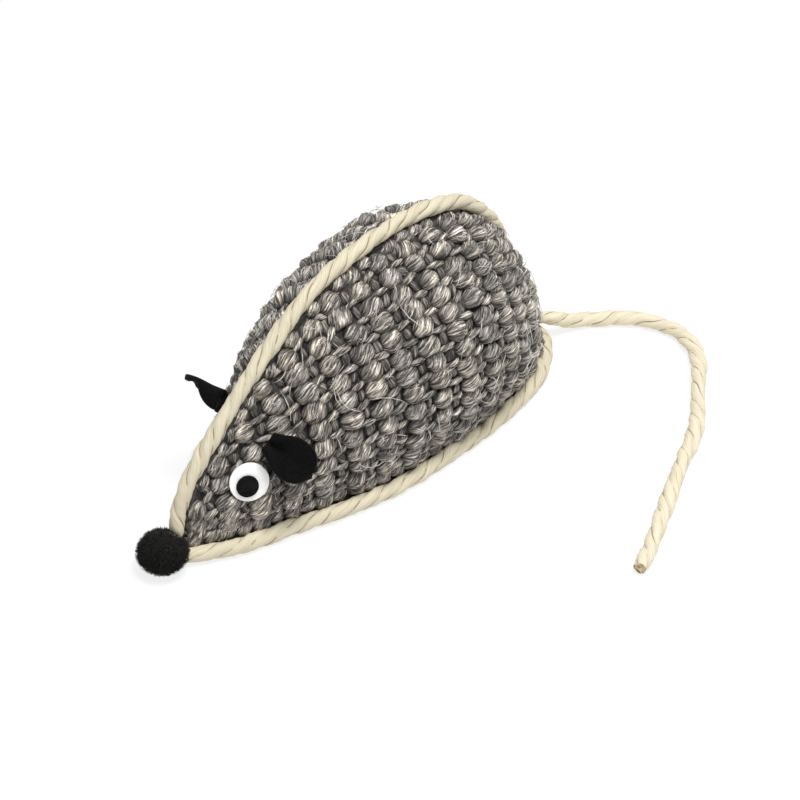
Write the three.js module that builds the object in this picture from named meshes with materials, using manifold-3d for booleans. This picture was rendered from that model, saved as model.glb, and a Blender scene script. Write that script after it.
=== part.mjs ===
// A woven sisal toy mouse: two domed flanks and a flat base panel sewn round a stuffed core,
// paper rope laid over the seams, a rope tail, felt ears, a pompom nose and loose-pupil eyes.
// Millimetres. +X runs from nose to tail, the mouse's left side faces -Y, +Z is up.

import * as THREE from 'three';
import { ParametricGeometry } from 'three/addons/geometries/ParametricGeometry.js';
import { mergeVertices } from 'three/addons/utils/BufferGeometryUtils.js';
import Module from 'manifold-3d';

const wasm = await Module();
wasm.setup();
const { clamp, degToRad, lerp, smoothstep } = THREE.MathUtils;

// Driving dimensions
const BODY_LENGTH = 127.3;
const BACK_HEIGHT = 57.7;
const BASE_HALF_WIDTH = 21;
const CLOTH_THICKNESS = 3;
const CLEARANCE = 0.3;
const STUFFING_CLEARANCE = 1.4;
const ROPE_DIAMETER = 4.3;
const ROPE_LIFT = 0.2;
const ROPE_SIDES = 10;
const POMPOM_DIAMETER = 13.4;
const POMPOM_HEIGHT = 10.8;
const POMPOM_LIFT = 0.1;
const TAIL_FLOOR_LIFT = 0.1;
const TAIL_TUCK = 2;
const TAIL_ASIDE = 5.5;
const EAR_LENGTH = 13.5;
const EAR_WIDTH = 11;
const EAR_THICKNESS = 1.2;
const EAR_CREASE_RADIUS = 1.3;
const LEFT_EAR_ROOT_LIFT = 0.9;
const RIGHT_EAR_ROOT_LIFT = 1.55;
const EYE_DIAMETER = 10;
const EYE_BACKING_THICKNESS = 0.6;
const EYE_DOME_HEIGHT = 2.6;
const EYE_DOME_WALL = 0.5;
const PUPIL_DIAMETER = 5.6;
const PUPIL_THICKNESS = 0.5;
const PUPIL_DROP = 1;
const SACHET_LENGTH = 34;
const SACHET_WIDTH = 26;
const SACHET_HEIGHT = 15;
const SACHET_CENTRE_X = 66;
const SACHET_CENTRE_Z = 24;

// How far each flank stands out from the straight line between its two seams,
// at equal steps along the body from nose to rump
const FLANK_BULGE = {
  left: [0.3, 2.5, 6.2, 10.4, 14.6, 16.4, 10.2, 2.9, 0.3],
  right: [0.3, 2.5, 6.2, 11.8, 16.3, 18.2, 12.6, 3.5, 0.3],
};

// How far, along the base seam, the flanks and the stuffing stop short of its two ends
const FLANK_INSET = 2.1;
const STUFFING_FRONT_INSET = 18.3;
const STUFFING_REAR_INSET = 9.9;

// Where the ears and eyes sit on the flanks: along the base seam, then as a share of the rise to the spine
const LEFT_EAR_ALONG_SEAM = 31.7;
const RIGHT_EAR_ALONG_SEAM = 34.5;
const EAR_RISE = 0.68;
const EYE_ALONG_SEAM = 23.3;
const LEFT_EYE_RISE = 0.56;
const RIGHT_EYE_RISE = 0.44;

// Weave of the flanks: plump yarn floats in rows that climb a little towards the rump;
// a float's middle lies at the anchor, along the base seam, in every row
const FLOAT_PITCH = 8.7;
const FLOAT_TOP = 3.8;
const ROW_PITCH = 5.1;
const FIRST_ROW_HEIGHT = 1.75;
const ROW_SLOPE = 0.1;
const SLOPED_ROWS_FROM = 15;
const WEAVE_DEPTH = 1.9;
const WEAVE_ANCHOR = 63.5;

// Directions in which the ears reach and face; the left one lies back, the right one stands out
const LEFT_EAR_REACH = new THREE.Vector3(0.28, -0.84, -0.47);
const LEFT_EAR_FACE = new THREE.Vector3(-0.58, -0.54, 0.62);
const RIGHT_EAR_REACH = new THREE.Vector3(0.103, 0.991, 0.081);
const RIGHT_EAR_FACE = new THREE.Vector3(-0.781, 0.134, -0.615);

const ROPE_RADIUS = ROPE_DIAMETER / 2;
const ROPE_SEAT = ROPE_RADIUS + CLEARANCE;
const SEAM_HEIGHT = CLOTH_THICKNESS + CLEARANCE;
const BASE_ROPE_HEIGHT = ROPE_LIFT + ROPE_RADIUS;
const BASE_ROPE_TOP = ROPE_LIFT + ROPE_DIAMETER;
const TAIL_FLOOR_HEIGHT = TAIL_FLOOR_LIFT + ROPE_RADIUS;
const TAIL_ROOT_HEIGHT = BASE_ROPE_TOP + ROPE_SEAT;
const TAIL_ROOT_TOP = TAIL_ROOT_HEIGHT + ROPE_RADIUS;
const POMPOM_RADIUS = POMPOM_DIAMETER / 2;

// Materials
function material(color, roughness, metalness = 0) {
  return new THREE.MeshStandardMaterial({ color, roughness, metalness });
}
const sisal = material('#7e7773', 0.9);
const rope = material('#e9dfc2', 0.75);
const felt = material('#161616', 0.95);
const wadding = material('#efece4', 1);
const muslin = material('#d9cfae', 0.95);
const whitePlastic = material('#fafaf8', 0.35);
const blackPlastic = material('#0e0e0e', 0.3);
const clearPlastic = material('#f4f8fa', 0.08);
clearPlastic.transparent = true;
clearPlastic.opacity = 0.25;

// The two seams of the left flank: along the floor panel's edge, and up the spine
function smoothCurve(points) {
  return new THREE.CatmullRomCurve3(points, false, 'catmullrom', 0.5);
}
const baseEdge = smoothCurve([
  [0, 0.4],
  [11.8, 7.5],
  [25.5, 11.9],
  [39.5, BASE_HALF_WIDTH - 4.3],
  [54, BASE_HALF_WIDTH - 1],
  [70.5, BASE_HALF_WIDTH],
  [BODY_LENGTH - 38.8, BASE_HALF_WIDTH - 0.2],
  [BODY_LENGTH - 21.3, BASE_HALF_WIDTH - 2.5],
  [BODY_LENGTH - 10.1, BASE_HALF_WIDTH - 6.5],
  [BODY_LENGTH - 3.5, BASE_HALF_WIDTH - 10.7],
  [BODY_LENGTH - 0.7, 5.3],
  [BODY_LENGTH, 0],
].map(([x, y]) => new THREE.Vector3(x, -y, 0)));
const crestLine = smoothCurve([
  [0.7, SEAM_HEIGHT],
  [1.8, 13.1],
  [6.4, 21.2],
  [18.1, BACK_HEIGHT - 25.4],
  [33.9, BACK_HEIGHT - 13],
  [47.5, BACK_HEIGHT - 4.7],
  [62.9, BACK_HEIGHT - 0.9],
  [80.5, BACK_HEIGHT],
  [BODY_LENGTH - 31.6, BACK_HEIGHT - 2.8],
  [BODY_LENGTH - 20.8, BACK_HEIGHT - 8.9],
  [BODY_LENGTH - 12, BACK_HEIGHT - 18.9],
  [BODY_LENGTH - 6, 21.4],
  [BODY_LENGTH - 2.3, SEAM_HEIGHT + 0.2],
].map(([x, z]) => new THREE.Vector3(x, 0, z)));
const seamLength = baseEdge.getLength();
const flankStart = FLANK_INSET / seamLength;
const flankEnd = 1 - FLANK_INSET / seamLength;
const stuffingStart = STUFFING_FRONT_INSET / seamLength;
const stuffingEnd = 1 - STUFFING_REAR_INSET / seamLength;
const leftEarStation = LEFT_EAR_ALONG_SEAM / seamLength;
const rightEarStation = RIGHT_EAR_ALONG_SEAM / seamLength;
const eyeStation = EYE_ALONG_SEAM / seamLength;
const bulgeCurve = (depths) => new THREE.SplineCurve(depths.map((depth, step) => new THREE.Vector2(step, depth)));
const bulge = { left: bulgeCurve(FLANK_BULGE.left), right: bulgeCurve(FLANK_BULGE.right) };

function baseOutward(station) {
  const along = baseEdge.getTangentAt(station);
  return new THREE.Vector3(along.y, -along.x, 0).normalize();
}

function crestOutward(station) {
  const along = crestLine.getTangentAt(station);
  return new THREE.Vector3(-along.z, 0, along.x).normalize();
}

// One circular arc of a flank, from its foot on the base edge to the spine; both flanks are shaped
// on the left of the spine, and the right one is then taken over to its own side
function rib(side, station) {
  const foot = baseEdge.getPointAt(station).setZ(SEAM_HEIGHT);
  const crest = crestLine.getPointAt(station).setY(-CLEARANCE / 2);
  const up = crest.clone().sub(foot);
  const half = up.length() / 2;
  up.normalize();
  const outward = baseOutward(station);
  outward.addScaledVector(up, -outward.dot(up)).normalize();
  const depth = bulge[side].getPoint(station).y;
  const radius = (half * half + depth * depth) / (2 * depth);
  return { foot, up, outward, half, radius, halfAngle: Math.asin(half / radius) };
}

function ribNormal(arc, rise) {
  const angle = (2 * rise - 1) * arc.halfAngle;
  return arc.outward.clone().multiplyScalar(Math.cos(angle)).addScaledVector(arc.up, Math.sin(angle));
}

// A point of a flank; depth goes inwards, and lies in the seam's own plane at both edges
function flankPoint(side, station, rise, depth = 0) {
  const arc = rib(side, station);
  const angle = (2 * rise - 1) * arc.halfAngle;
  const point = arc.foot.clone();
  point.addScaledVector(arc.up, arc.half + arc.radius * Math.sin(angle));
  point.addScaledVector(arc.outward, arc.radius * (Math.cos(angle) - Math.cos(arc.halfAngle)));
  if (depth === 0) return point;
  const edgeBand = 0.2;
  const inward = ribNormal(arc, rise);
  inward.z *= smoothstep(rise, 0, edgeBand);
  inward.y *= smoothstep(1 - rise, 0, edgeBand);
  point.addScaledVector(inward.normalize(), -depth);
  point.y = Math.min(point.y, -CLEARANCE / 2);
  point.z = Math.max(point.z, SEAM_HEIGHT);
  return point;
}

function flankNormal(side, station, rise) {
  const nudge = 0.01;
  const along = flankPoint(side, station + nudge, rise).sub(flankPoint(side, station - nudge, rise));
  const up = flankPoint(side, station, rise + nudge).sub(flankPoint(side, station, rise - nudge));
  return along.cross(up).normalize();
}

// A place or direction shaped on the left, taken over to the right where that is the side
function toSide(vector, side) {
  return side === 'left' ? vector : new THREE.Vector3(vector.x, -vector.y, vector.z);
}

// A skin over rows of points, each row a closed loop
function loopSkin(rows) {
  const around = rows[0].length;
  const place = (u, v, target) => {
    const row = rows[Math.round(v * (rows.length - 1))];
    target.copy(row[Math.round(u * around) % around]);
  };
  return welded(new ParametricGeometry(place, around, rows.length - 1));
}

// A closed skin through rings of points, shut at both ends by a fan to the ring's middle
function ringSolid(rings) {
  const shut = (ring) => {
    const middle = new THREE.Vector3();
    ring.forEach((point) => middle.add(point));
    middle.divideScalar(ring.length);
    return ring.map(() => middle);
  };
  return loopSkin([shut(rings[0]), ...rings, shut(rings[rings.length - 1])]);
}

// A closed skin round a folded sheet: each ring runs over one face and back over the other,
// and both ends are shut by joining the two faces
function sheetSolid(rings) {
  const halfway = (ring) => ring.map((point, i) => point.clone().lerp(ring[ring.length - 1 - i], 0.5));
  return loopSkin([halfway(rings[0]), ...rings, halfway(rings[rings.length - 1])]);
}

// Shared corners merged, empty triangles dropped
function welded(geometry) {
  geometry.deleteAttribute('normal');
  geometry.deleteAttribute('uv');
  const merged = mergeVertices(geometry, 1e-4);
  const index = merged.index.array;
  const kept = [];
  for (let i = 0; i < index.length; i += 3) {
    const [a, b, c] = index.slice(i, i + 3);
    if (a !== b && b !== c && c !== a) kept.push(a, b, c);
  }
  merged.setIndex(kept);
  return facedOut(merged);
}

function flipped(geometry) {
  const index = geometry.index.array;
  const turned = [];
  for (let i = 0; i < index.length; i += 3) turned.push(index[i], index[i + 2], index[i + 1]);
  geometry.setIndex(turned);
  return geometry;
}

// Turned so that the faces point out of the solid
function facedOut(geometry) {
  const corner = [0, 1, 2].map(() => new THREE.Vector3());
  const index = geometry.index.array;
  let volume = 0;
  for (let i = 0; i < index.length; i += 3) {
    corner.forEach((point, k) => point.fromBufferAttribute(geometry.attributes.position, index[i + k]));
    volume += corner[0].dot(corner[1].clone().cross(corner[2]));
  }
  return volume < 0 ? flipped(geometry) : geometry;
}

function mirroredToRight(geometry) {
  return flipped(geometry.clone().scale(1, -1, 1));
}

// Joins and cuts
function solidOf(geometry) {
  const skin = geometry.index ? geometry : welded(geometry.clone());
  const vertProperties = new Float32Array(skin.attributes.position.array);
  const triVerts = new Uint32Array(skin.index.array);
  return new wasm.Manifold(new wasm.Mesh({ numProp: 3, vertProperties, triVerts }));
}

function geometryOf(solid) {
  const mesh = solid.getMesh();
  const geometry = new THREE.BufferGeometry();
  geometry.setAttribute('position', new THREE.BufferAttribute(mesh.vertProperties, 3));
  geometry.setIndex(new THREE.BufferAttribute(mesh.triVerts, 1));
  return geometry;
}

const mouse = new THREE.Group();

function addPiece(name, geometry, finish, parent = mouse) {
  geometry.computeVertexNormals();
  const piece = new THREE.Mesh(geometry, finish);
  piece.name = name;
  parent.add(piece);
  return piece;
}

function steps(from, to, count) {
  return Array.from({ length: count + 1 }, (_, i) => from + ((to - from) * i) / count);
}

// Flanks: shells of thick woven cloth, pressed smooth under the eye and at the root of the ear
const FURROW_PLUMPNESS = 0.3;
const EDGE_FADE = 3;
const END_FADE = 12;
const LINING_STEPS = 5;
const LINING_COLUMNS = 3;
const EAR_PRESSED_RADIUS = 3.7;
const EYE_PRESSED_RADIUS = 6;
const LOOSE_SHARE = 1.6;

function ribLength(side, station) {
  const arc = rib(side, station);
  return 2 * arc.halfAngle * arc.radius;
}

// The lines that the cloth is built on: the middles of the rows, and the furrows between them
function weaveHeights(side) {
  const ribSamples = 40;
  const tallest = Math.max(...steps(flankStart, flankEnd, ribSamples).map((station) => ribLength(side, station)));
  const count = Math.ceil((2 * (tallest + ROW_SLOPE * seamLength)) / ROW_PITCH);
  return steps(0, count, count).map((level) => FIRST_ROW_HEIGHT + (level * ROW_PITCH) / 2);
}

// Lengths from the anchor that the cloth is built on: both ends of each float's top and the gap behind it,
// and only the middles of the floats where the weave fades out
function weaveColumns() {
  const reach = Math.ceil(seamLength / FLOAT_PITCH);
  const fadesAhead = END_FADE / 2 - WEAVE_ANCHOR;
  const fadesBehind = seamLength - WEAVE_ANCHOR - END_FADE / 2;
  return steps(-reach, reach, 2 * reach).flatMap((float) => {
    const middle = float * FLOAT_PITCH;
    if (middle < fadesAhead || middle > fadesBehind) return [{ length: middle, plumpness: 1 }];
    return [
      { length: middle - FLOAT_TOP / 2, plumpness: 1 },
      { length: middle + FLOAT_TOP / 2, plumpness: 1 },
      { length: middle + FLOAT_PITCH / 2, plumpness: 0 },
    ];
  });
}

// Where a line of the weave crosses a rib; it follows the spine where it would pass over it
function weavePlace(side, height, station) {
  const slope = ROW_SLOPE * smoothstep(height, 0, SLOPED_ROWS_FROM);
  const climb = height + slope * (station * seamLength - WEAVE_ANCHOR);
  const rise = Math.min(climb / ribLength(side, station), 1);
  return { station, rise, point: flankPoint(side, station, rise) };
}

// Places on a line of the weave at the columns' lengths from the anchor, within the ends of the flank
function weaveLine(side, height, columns) {
  const anchor = WEAVE_ANCHOR / seamLength;
  const anchorStep = 60;
  const ahead = steps(flankStart, anchor, anchorStep);
  const behind = steps(anchor, flankEnd, anchorStep).slice(1);
  const stations = [...ahead, ...behind];
  const places = stations.map((station) => weavePlace(side, height, station));
  const lengths = [0];
  places.slice(1).forEach(({ point }, i) => lengths.push(lengths[i] + point.distanceTo(places[i].point)));
  return columns.map(({ length }) => {
    const wanted = lengths[anchorStep] + length;
    if (wanted <= 0) return places[0];
    const next = lengths.findIndex((reached) => reached > wanted);
    if (next < 0) return places[places.length - 1];
    const share = (wanted - lengths[next - 1]) / (lengths[next] - lengths[next - 1]);
    return weavePlace(side, height, lerp(stations[next - 1], stations[next], share));
  });
}

// How far the cloth lies below its floats: not at all at a seam, an end or a pressed spot
function weaveDip(side, place, plumpness, pressedSpots) {
  const wholeRise = ribLength(side, place.station);
  const toSeam = Math.min(place.rise, 1 - place.rise) * wholeRise;
  const toEnd = Math.min(place.station - flankStart, flankEnd - place.station) * seamLength;
  const loose = pressedSpots.map(({ spot, radius }) => {
    return smoothstep(place.point.distanceTo(spot), radius, LOOSE_SHARE * radius);
  });
  const fade = smoothstep(toSeam, 0, EDGE_FADE) * smoothstep(toEnd, 0, END_FADE) * Math.min(...loose);
  return WEAVE_DEPTH * (1 - plumpness) * fade;
}

// The smooth lining is built on fewer columns than the weave
function flankGeometry(side, earStation, eyeRise) {
  const pressedSpots = [
    { spot: flankPoint(side, earStation, EAR_RISE), radius: EAR_PRESSED_RADIUS },
    { spot: flankPoint(side, eyeStation, eyeRise), radius: EYE_PRESSED_RADIUS },
  ];
  const columns = weaveColumns();
  const lines = weaveHeights(side).map((height) => weaveLine(side, height, columns));
  const sections = columns.map((column, i) => {
    const rising = lines.map((line) => line[i]);
    const top = rising.findIndex((place) => place.rise === 1);
    const woven = rising.map((_, level) => {
      const place = rising[Math.min(level, top)];
      const plumpness = column.plumpness * (level % 2 === 0 ? 1 : FURROW_PLUMPNESS);
      return flankPoint(side, place.station, place.rise, weaveDip(side, place, plumpness, pressedSpots));
    });
    const footStation = rising[0].station;
    const lining = steps(1, 0, LINING_STEPS).map((rise) => {
      return flankPoint(side, lerp(footStation, rising[top].station, rise), rise, CLOTH_THICKNESS);
    });
    return { outside: [flankPoint(side, footStation, 0), ...woven], lining };
  });
  return ringSolid(sections.map(({ outside }, i) => [...outside, ...sections[i - (i % LINING_COLUMNS)].lining]));
}
addPiece('left_flank', flankGeometry('left', leftEarStation, LEFT_EYE_RISE), sisal);
addPiece('right_flank', mirroredToRight(flankGeometry('right', rightEarStation, RIGHT_EYE_RISE)), sisal);

// Base panel: the flat sole between the flanks' lower edges
function basePanelGeometry() {
  const outlineSteps = 40;
  const leftEdge = baseEdge.getSpacedPoints(outlineSteps);
  const leftSide = leftEdge.map((point) => new THREE.Vector2(point.x, point.y));
  const rightSide = leftSide.slice(0, -1).toReversed().map((point) => new THREE.Vector2(point.x, -point.y));
  const outline = new THREE.Shape([...leftSide, ...rightSide]);
  return new THREE.ExtrudeGeometry(outline, { depth: CLOTH_THICKNESS, bevelEnabled: false });
}
addPiece('base_panel', basePanelGeometry(), sisal);

// Stuffing: two wads that fill the body and hold the catnip sachet between them
function coreRing(station, depth) {
  const ribSteps = 10;
  const rises = steps(0, 1, ribSteps);
  const half = (side) => rises.map((rise) => toSide(flankPoint(side, station, rise, depth), side));
  return [...half('left'), ...half('right').toReversed()];
}

// A pillow with a seam all round its middle, swollen by its filling
function pillow(length, width, height) {
  const lastRing = 0.98;
  const rings = steps(-lastRing, lastRing, 12).map((along) => {
    const swell = Math.sqrt(1 - along * along);
    const halfWidth = (width / 2) * Math.sqrt(swell);
    const rim = steps(0, 2 * Math.PI, 16).slice(0, -1);
    return rim.map((angle) => new THREE.Vector3(
      (along * length) / 2,
      halfWidth * Math.cos(angle),
      (height / 2) * swell * Math.sin(angle),
    ));
  });
  return ringSolid(rings).translate(SACHET_CENTRE_X, 0, SACHET_CENTRE_Z);
}
addPiece('catnip_sachet', pillow(SACHET_LENGTH, SACHET_WIDTH, SACHET_HEIGHT), muslin);

function stuffingGeometries() {
  const coreSteps = 24;
  const stations = steps(stuffingStart, stuffingEnd, coreSteps);
  const coreDepth = CLOTH_THICKNESS + STUFFING_CLEARANCE;
  const core = solidOf(ringSolid(stations.map((station) => coreRing(station, coreDepth))));
  const room = 2 * CLEARANCE;
  const pocket = solidOf(pillow(SACHET_LENGTH + room, SACHET_WIDTH + room, SACHET_HEIGHT + room));
  const block = (x) => {
    const size = 2 * BODY_LENGTH;
    return solidOf(welded(new THREE.BoxGeometry(size, size, size).translate(x, 0, 0)));
  };
  const wad = core.subtract(pocket);
  const front = wad.intersect(block(SACHET_CENTRE_X - CLEARANCE / 2 - BODY_LENGTH));
  const rear = wad.intersect(block(SACHET_CENTRE_X + CLEARANCE / 2 + BODY_LENGTH));
  return [front, rear].map(geometryOf);
}
const [frontStuffing, rearStuffing] = stuffingGeometries();
addPiece('front_stuffing', frontStuffing, wadding);
addPiece('rear_stuffing', rearStuffing, wadding);

// Ropes: plain round cords along the seams
function ropeGeometry(points, stepCount) {
  const section = new THREE.Shape(steps(0, 2 * Math.PI, ROPE_SIDES).slice(0, -1).map(
    (angle) => new THREE.Vector2(ROPE_RADIUS * Math.cos(angle), ROPE_RADIUS * Math.sin(angle)),
  ));
  const path = smoothCurve(points);
  return new THREE.ExtrudeGeometry(section, { steps: stepCount, extrudePath: path, bevelEnabled: false });
}

// The pompom is glued over the tip of the nose, where the ropes end
const pompomCentre = new THREE.Vector3(
  crestLine.points[0].x - CLEARANCE - POMPOM_RADIUS - CLEARANCE,
  0,
  POMPOM_LIFT + POMPOM_HEIGHT / 2,
);
const pompomBall = new THREE.SphereGeometry(POMPOM_RADIUS, 24, 16).rotateX(Math.PI / 2);
pompomBall.scale(1, 1, POMPOM_HEIGHT / POMPOM_DIAMETER);
addPiece('nose_pompom', pompomBall.translate(...pompomCentre.toArray()), felt);

function spineRopePoint(station) {
  return crestLine.getPointAt(station).addScaledVector(crestOutward(station), ROPE_SEAT);
}

function baseRopePoint(station) {
  const point = baseEdge.getPointAt(station).addScaledVector(baseOutward(station), ROPE_SEAT);
  return point.setZ(BASE_ROPE_HEIGHT);
}

// First station, from one end of a seam, at which its rope is clear of what stands there
function firstStation(from, to, isClear) {
  return steps(from, to, 400).find(isClear);
}
const clearOfPompom = (point) => point.distanceTo(pompomCentre) > POMPOM_RADIUS + ROPE_SEAT;
const spineStart = firstStation(0, 0.5, (station) => clearOfPompom(spineRopePoint(station)));
const spineEnd = firstStation(1, 0.5, (station) => spineRopePoint(station).z > TAIL_ROOT_TOP + 3 * CLEARANCE);
const spineRoute = steps(spineStart, spineEnd, 24).map(spineRopePoint);
addPiece('spine_rope', ropeGeometry(spineRoute, 44), rope);

const baseStart = firstStation(0, 0.5, (station) => {
  const point = baseRopePoint(station);
  return clearOfPompom(point) && -point.y > ROPE_SEAT;
});
const baseLeft = steps(baseStart, 1, 26).map(baseRopePoint);
const baseRight = baseLeft.slice(0, -1).toReversed().map((point) => toSide(point, 'right'));
addPiece('base_rope', ropeGeometry([...baseLeft, ...baseRight], 72), rope);

// Tail: sewn into the seam above the base rope, left of the spine, over the rope and down to the floor
const tailRoot = new THREE.Vector3(BODY_LENGTH + ROPE_SEAT - TAIL_TUCK, -TAIL_ASIDE, TAIL_ROOT_HEIGHT);
const TAIL_RUN = [
  [2.2, -1.9, TAIL_ROOT_HEIGHT],
  [5, -3.1, TAIL_ROOT_HEIGHT - 1.3],
  [8.1, -3.9, TAIL_FLOOR_HEIGHT + 1.7],
  [11.3, -4.9, TAIL_FLOOR_HEIGHT + 0.4],
  [14.4, -6.8, TAIL_FLOOR_HEIGHT],
  [17.7, -9.7, TAIL_FLOOR_HEIGHT],
  [21.4, -13.2, TAIL_FLOOR_HEIGHT],
  [24.2, -17.3, TAIL_FLOOR_HEIGHT],
  [26.2, -23.4, TAIL_FLOOR_HEIGHT],
  [26.3, -29.8, TAIL_FLOOR_HEIGHT],
  [22.9, -37.2, TAIL_FLOOR_HEIGHT],
  [18, -42.2, TAIL_FLOOR_HEIGHT],
  [11.6, -46.8, TAIL_FLOOR_HEIGHT],
  [5.6, -51.1, TAIL_FLOOR_HEIGHT],
  [-1, -55.9, TAIL_FLOOR_HEIGHT],
  [-8.2, -59.9, TAIL_FLOOR_HEIGHT],
  [-15.4, -62.7, TAIL_FLOOR_HEIGHT],
  [-23.2, -66.1, TAIL_FLOOR_HEIGHT],
  [-31.4, -69.9, TAIL_FLOOR_HEIGHT],
  [-39.8, -73.7, TAIL_FLOOR_HEIGHT],
  [-48.4, -77.6, TAIL_FLOOR_HEIGHT],
  [-57.2, -80.9, TAIL_FLOOR_HEIGHT],
];
const tailRoute = [
  tailRoot,
  ...TAIL_RUN.map(([x, y, z]) => new THREE.Vector3(tailRoot.x + x, tailRoot.y + y, z)),
];
const tailCord = solidOf(welded(ropeGeometry(tailRoute, 60)));
const tailKnot = new THREE.SphereGeometry(ROPE_RADIUS, 16, 10).translate(...tailRoot.toArray());
const tail = addPiece('tail_rope', geometryOf(tailCord.add(solidOf(welded(tailKnot)))), rope);

// Ears: felt leaves, folded together at the root and opening towards a round tip
const ROOT_FOLD = degToRad(78);
const TIP_FOLD = degToRad(9);

function earGeometry(reach, face) {
  const along = reach.clone().normalize();
  const normal = face.clone().addScaledVector(along, -face.dot(along)).normalize();
  const across = along.clone().cross(normal);
  const openFrom = 0.58;
  const rootWidthShare = 0.8;
  const fullWidthFrom = 0.45;
  const tipRoundness = 2.4;
  const sheetPoint = (share, side, lift) => {
    const tipShare = Math.sqrt(1 - Math.pow(2 * Math.max(share, 0.5) - 1, tipRoundness));
    const spread = lerp(rootWidthShare, 1, smoothstep(share, 0, fullWidthFrom));
    const aside = side * (EAR_WIDTH / 2) * tipShare * spread;
    const fold = lerp(ROOT_FOLD, TIP_FOLD, smoothstep(share, 0, openFrom));
    const bend = clamp(aside / EAR_CREASE_RADIUS, -fold, fold);
    const leg = aside - bend * EAR_CREASE_RADIUS;
    const sideways = EAR_CREASE_RADIUS * Math.sin(bend) + leg * Math.cos(bend) - lift * Math.sin(bend);
    const forwards = EAR_CREASE_RADIUS * (1 - Math.cos(bend)) + leg * Math.sin(bend) + lift * Math.cos(bend);
    return new THREE.Vector3()
      .addScaledVector(along, share * EAR_LENGTH)
      .addScaledVector(across, sideways)
      .addScaledVector(normal, forwards);
  };
  const sideSteps = 12;
  const lengthSteps = 12;
  const lastAngle = degToRad(84);
  const sides = steps(-1, 1, sideSteps);
  const shares = steps(0, lastAngle, lengthSteps).map(Math.sin);
  const rings = shares.map((share) => [
    ...sides.map((side) => sheetPoint(share, side, EAR_THICKNESS / 2)),
    ...sides.toReversed().map((side) => sheetPoint(share, side, -EAR_THICKNESS / 2)),
  ]);
  return sheetSolid(rings);
}

function addEar(side, station, reach, face, rootLift) {
  const root = toSide(flankPoint(side, station, EAR_RISE), side);
  const normal = toSide(flankNormal(side, station, EAR_RISE), side);
  const ear = addPiece(`${side}_ear`, earGeometry(reach, face), felt);
  ear.position.copy(root).addScaledVector(normal, rootLift);
}
addEar('left', leftEarStation, LEFT_EAR_REACH, LEFT_EAR_FACE, LEFT_EAR_ROOT_LIFT);
addEar('right', rightEarStation, RIGHT_EAR_REACH, RIGHT_EAR_FACE, RIGHT_EAR_ROOT_LIFT);

// Eyes: a white disc, a loose black pupil on it and a clear dome over both
function turned(profile, sides) {
  const points = profile.map(([r, z]) => new THREE.Vector2(r, z));
  return new THREE.LatheGeometry(points, sides).rotateX(Math.PI / 2);
}

function disc(radius, low, high, sides) {
  return turned([[0, low], [radius, low], [radius, high], [0, high]], sides);
}

function dome(radius, height, wall, low, sides) {
  const quarter = steps(0, Math.PI / 2, 6);
  const outer = quarter.map((angle) => [radius * Math.cos(angle), low + height * Math.sin(angle)]);
  const inner = quarter.toReversed().map(
    (angle) => [(radius - wall) * Math.cos(angle), low + (height - wall) * Math.sin(angle)],
  );
  return turned([...outer, ...inner, outer[0]], sides);
}

function addEye(side, rise) {
  const eye = new THREE.Group();
  const normal = toSide(flankNormal(side, eyeStation, rise), side);
  eye.position.copy(toSide(flankPoint(side, eyeStation, rise), side)).addScaledVector(normal, CLEARANCE);
  const level = new THREE.Vector3(0, 0, 1).cross(normal).normalize();
  eye.setRotationFromMatrix(new THREE.Matrix4().makeBasis(level, normal.clone().cross(level), normal));
  mouse.add(eye);
  const sides = 32;
  const radius = EYE_DIAMETER / 2;
  const floor = EYE_BACKING_THICKNESS + CLEARANCE;
  addPiece(`${side}_eye_backing`, disc(radius, 0, EYE_BACKING_THICKNESS, sides), whitePlastic, eye);
  const pupil = addPiece(
    `${side}_eye_pupil`,
    disc(PUPIL_DIAMETER / 2, floor, floor + PUPIL_THICKNESS, sides),
    blackPlastic,
    eye,
  );
  const forward = side === 'left' ? -1 : 1;
  pupil.position.set(forward * PUPIL_DROP * Math.SQRT1_2, -PUPIL_DROP * Math.SQRT1_2, 0);
  const cover = dome(radius, EYE_DOME_HEIGHT, EYE_DOME_WALL, floor, sides);
  addPiece(`${side}_eye_dome`, cover, clearPlastic, eye);
}
addEye('left', LEFT_EYE_RISE);
addEye('right', RIGHT_EYE_RISE);

// The origin lies under the middle of the mouse, its free tail left out
mouse.updateMatrixWorld(true);
const bodyBox = new THREE.Box3();
mouse.traverse((piece) => {
  if (piece.isMesh && piece !== tail) bodyBox.expandByObject(piece, true);
});
mouse.position.x = -(bodyBox.min.x + bodyBox.max.x) / 2;

export default mouse;
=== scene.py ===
import random
from collections import namedtuple
from math import atan2, ceil, cos, floor, pi, radians, sin, sqrt, tan

import bmesh
import bpy
import numpy as np
from mathutils import Matrix, Vector


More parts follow.
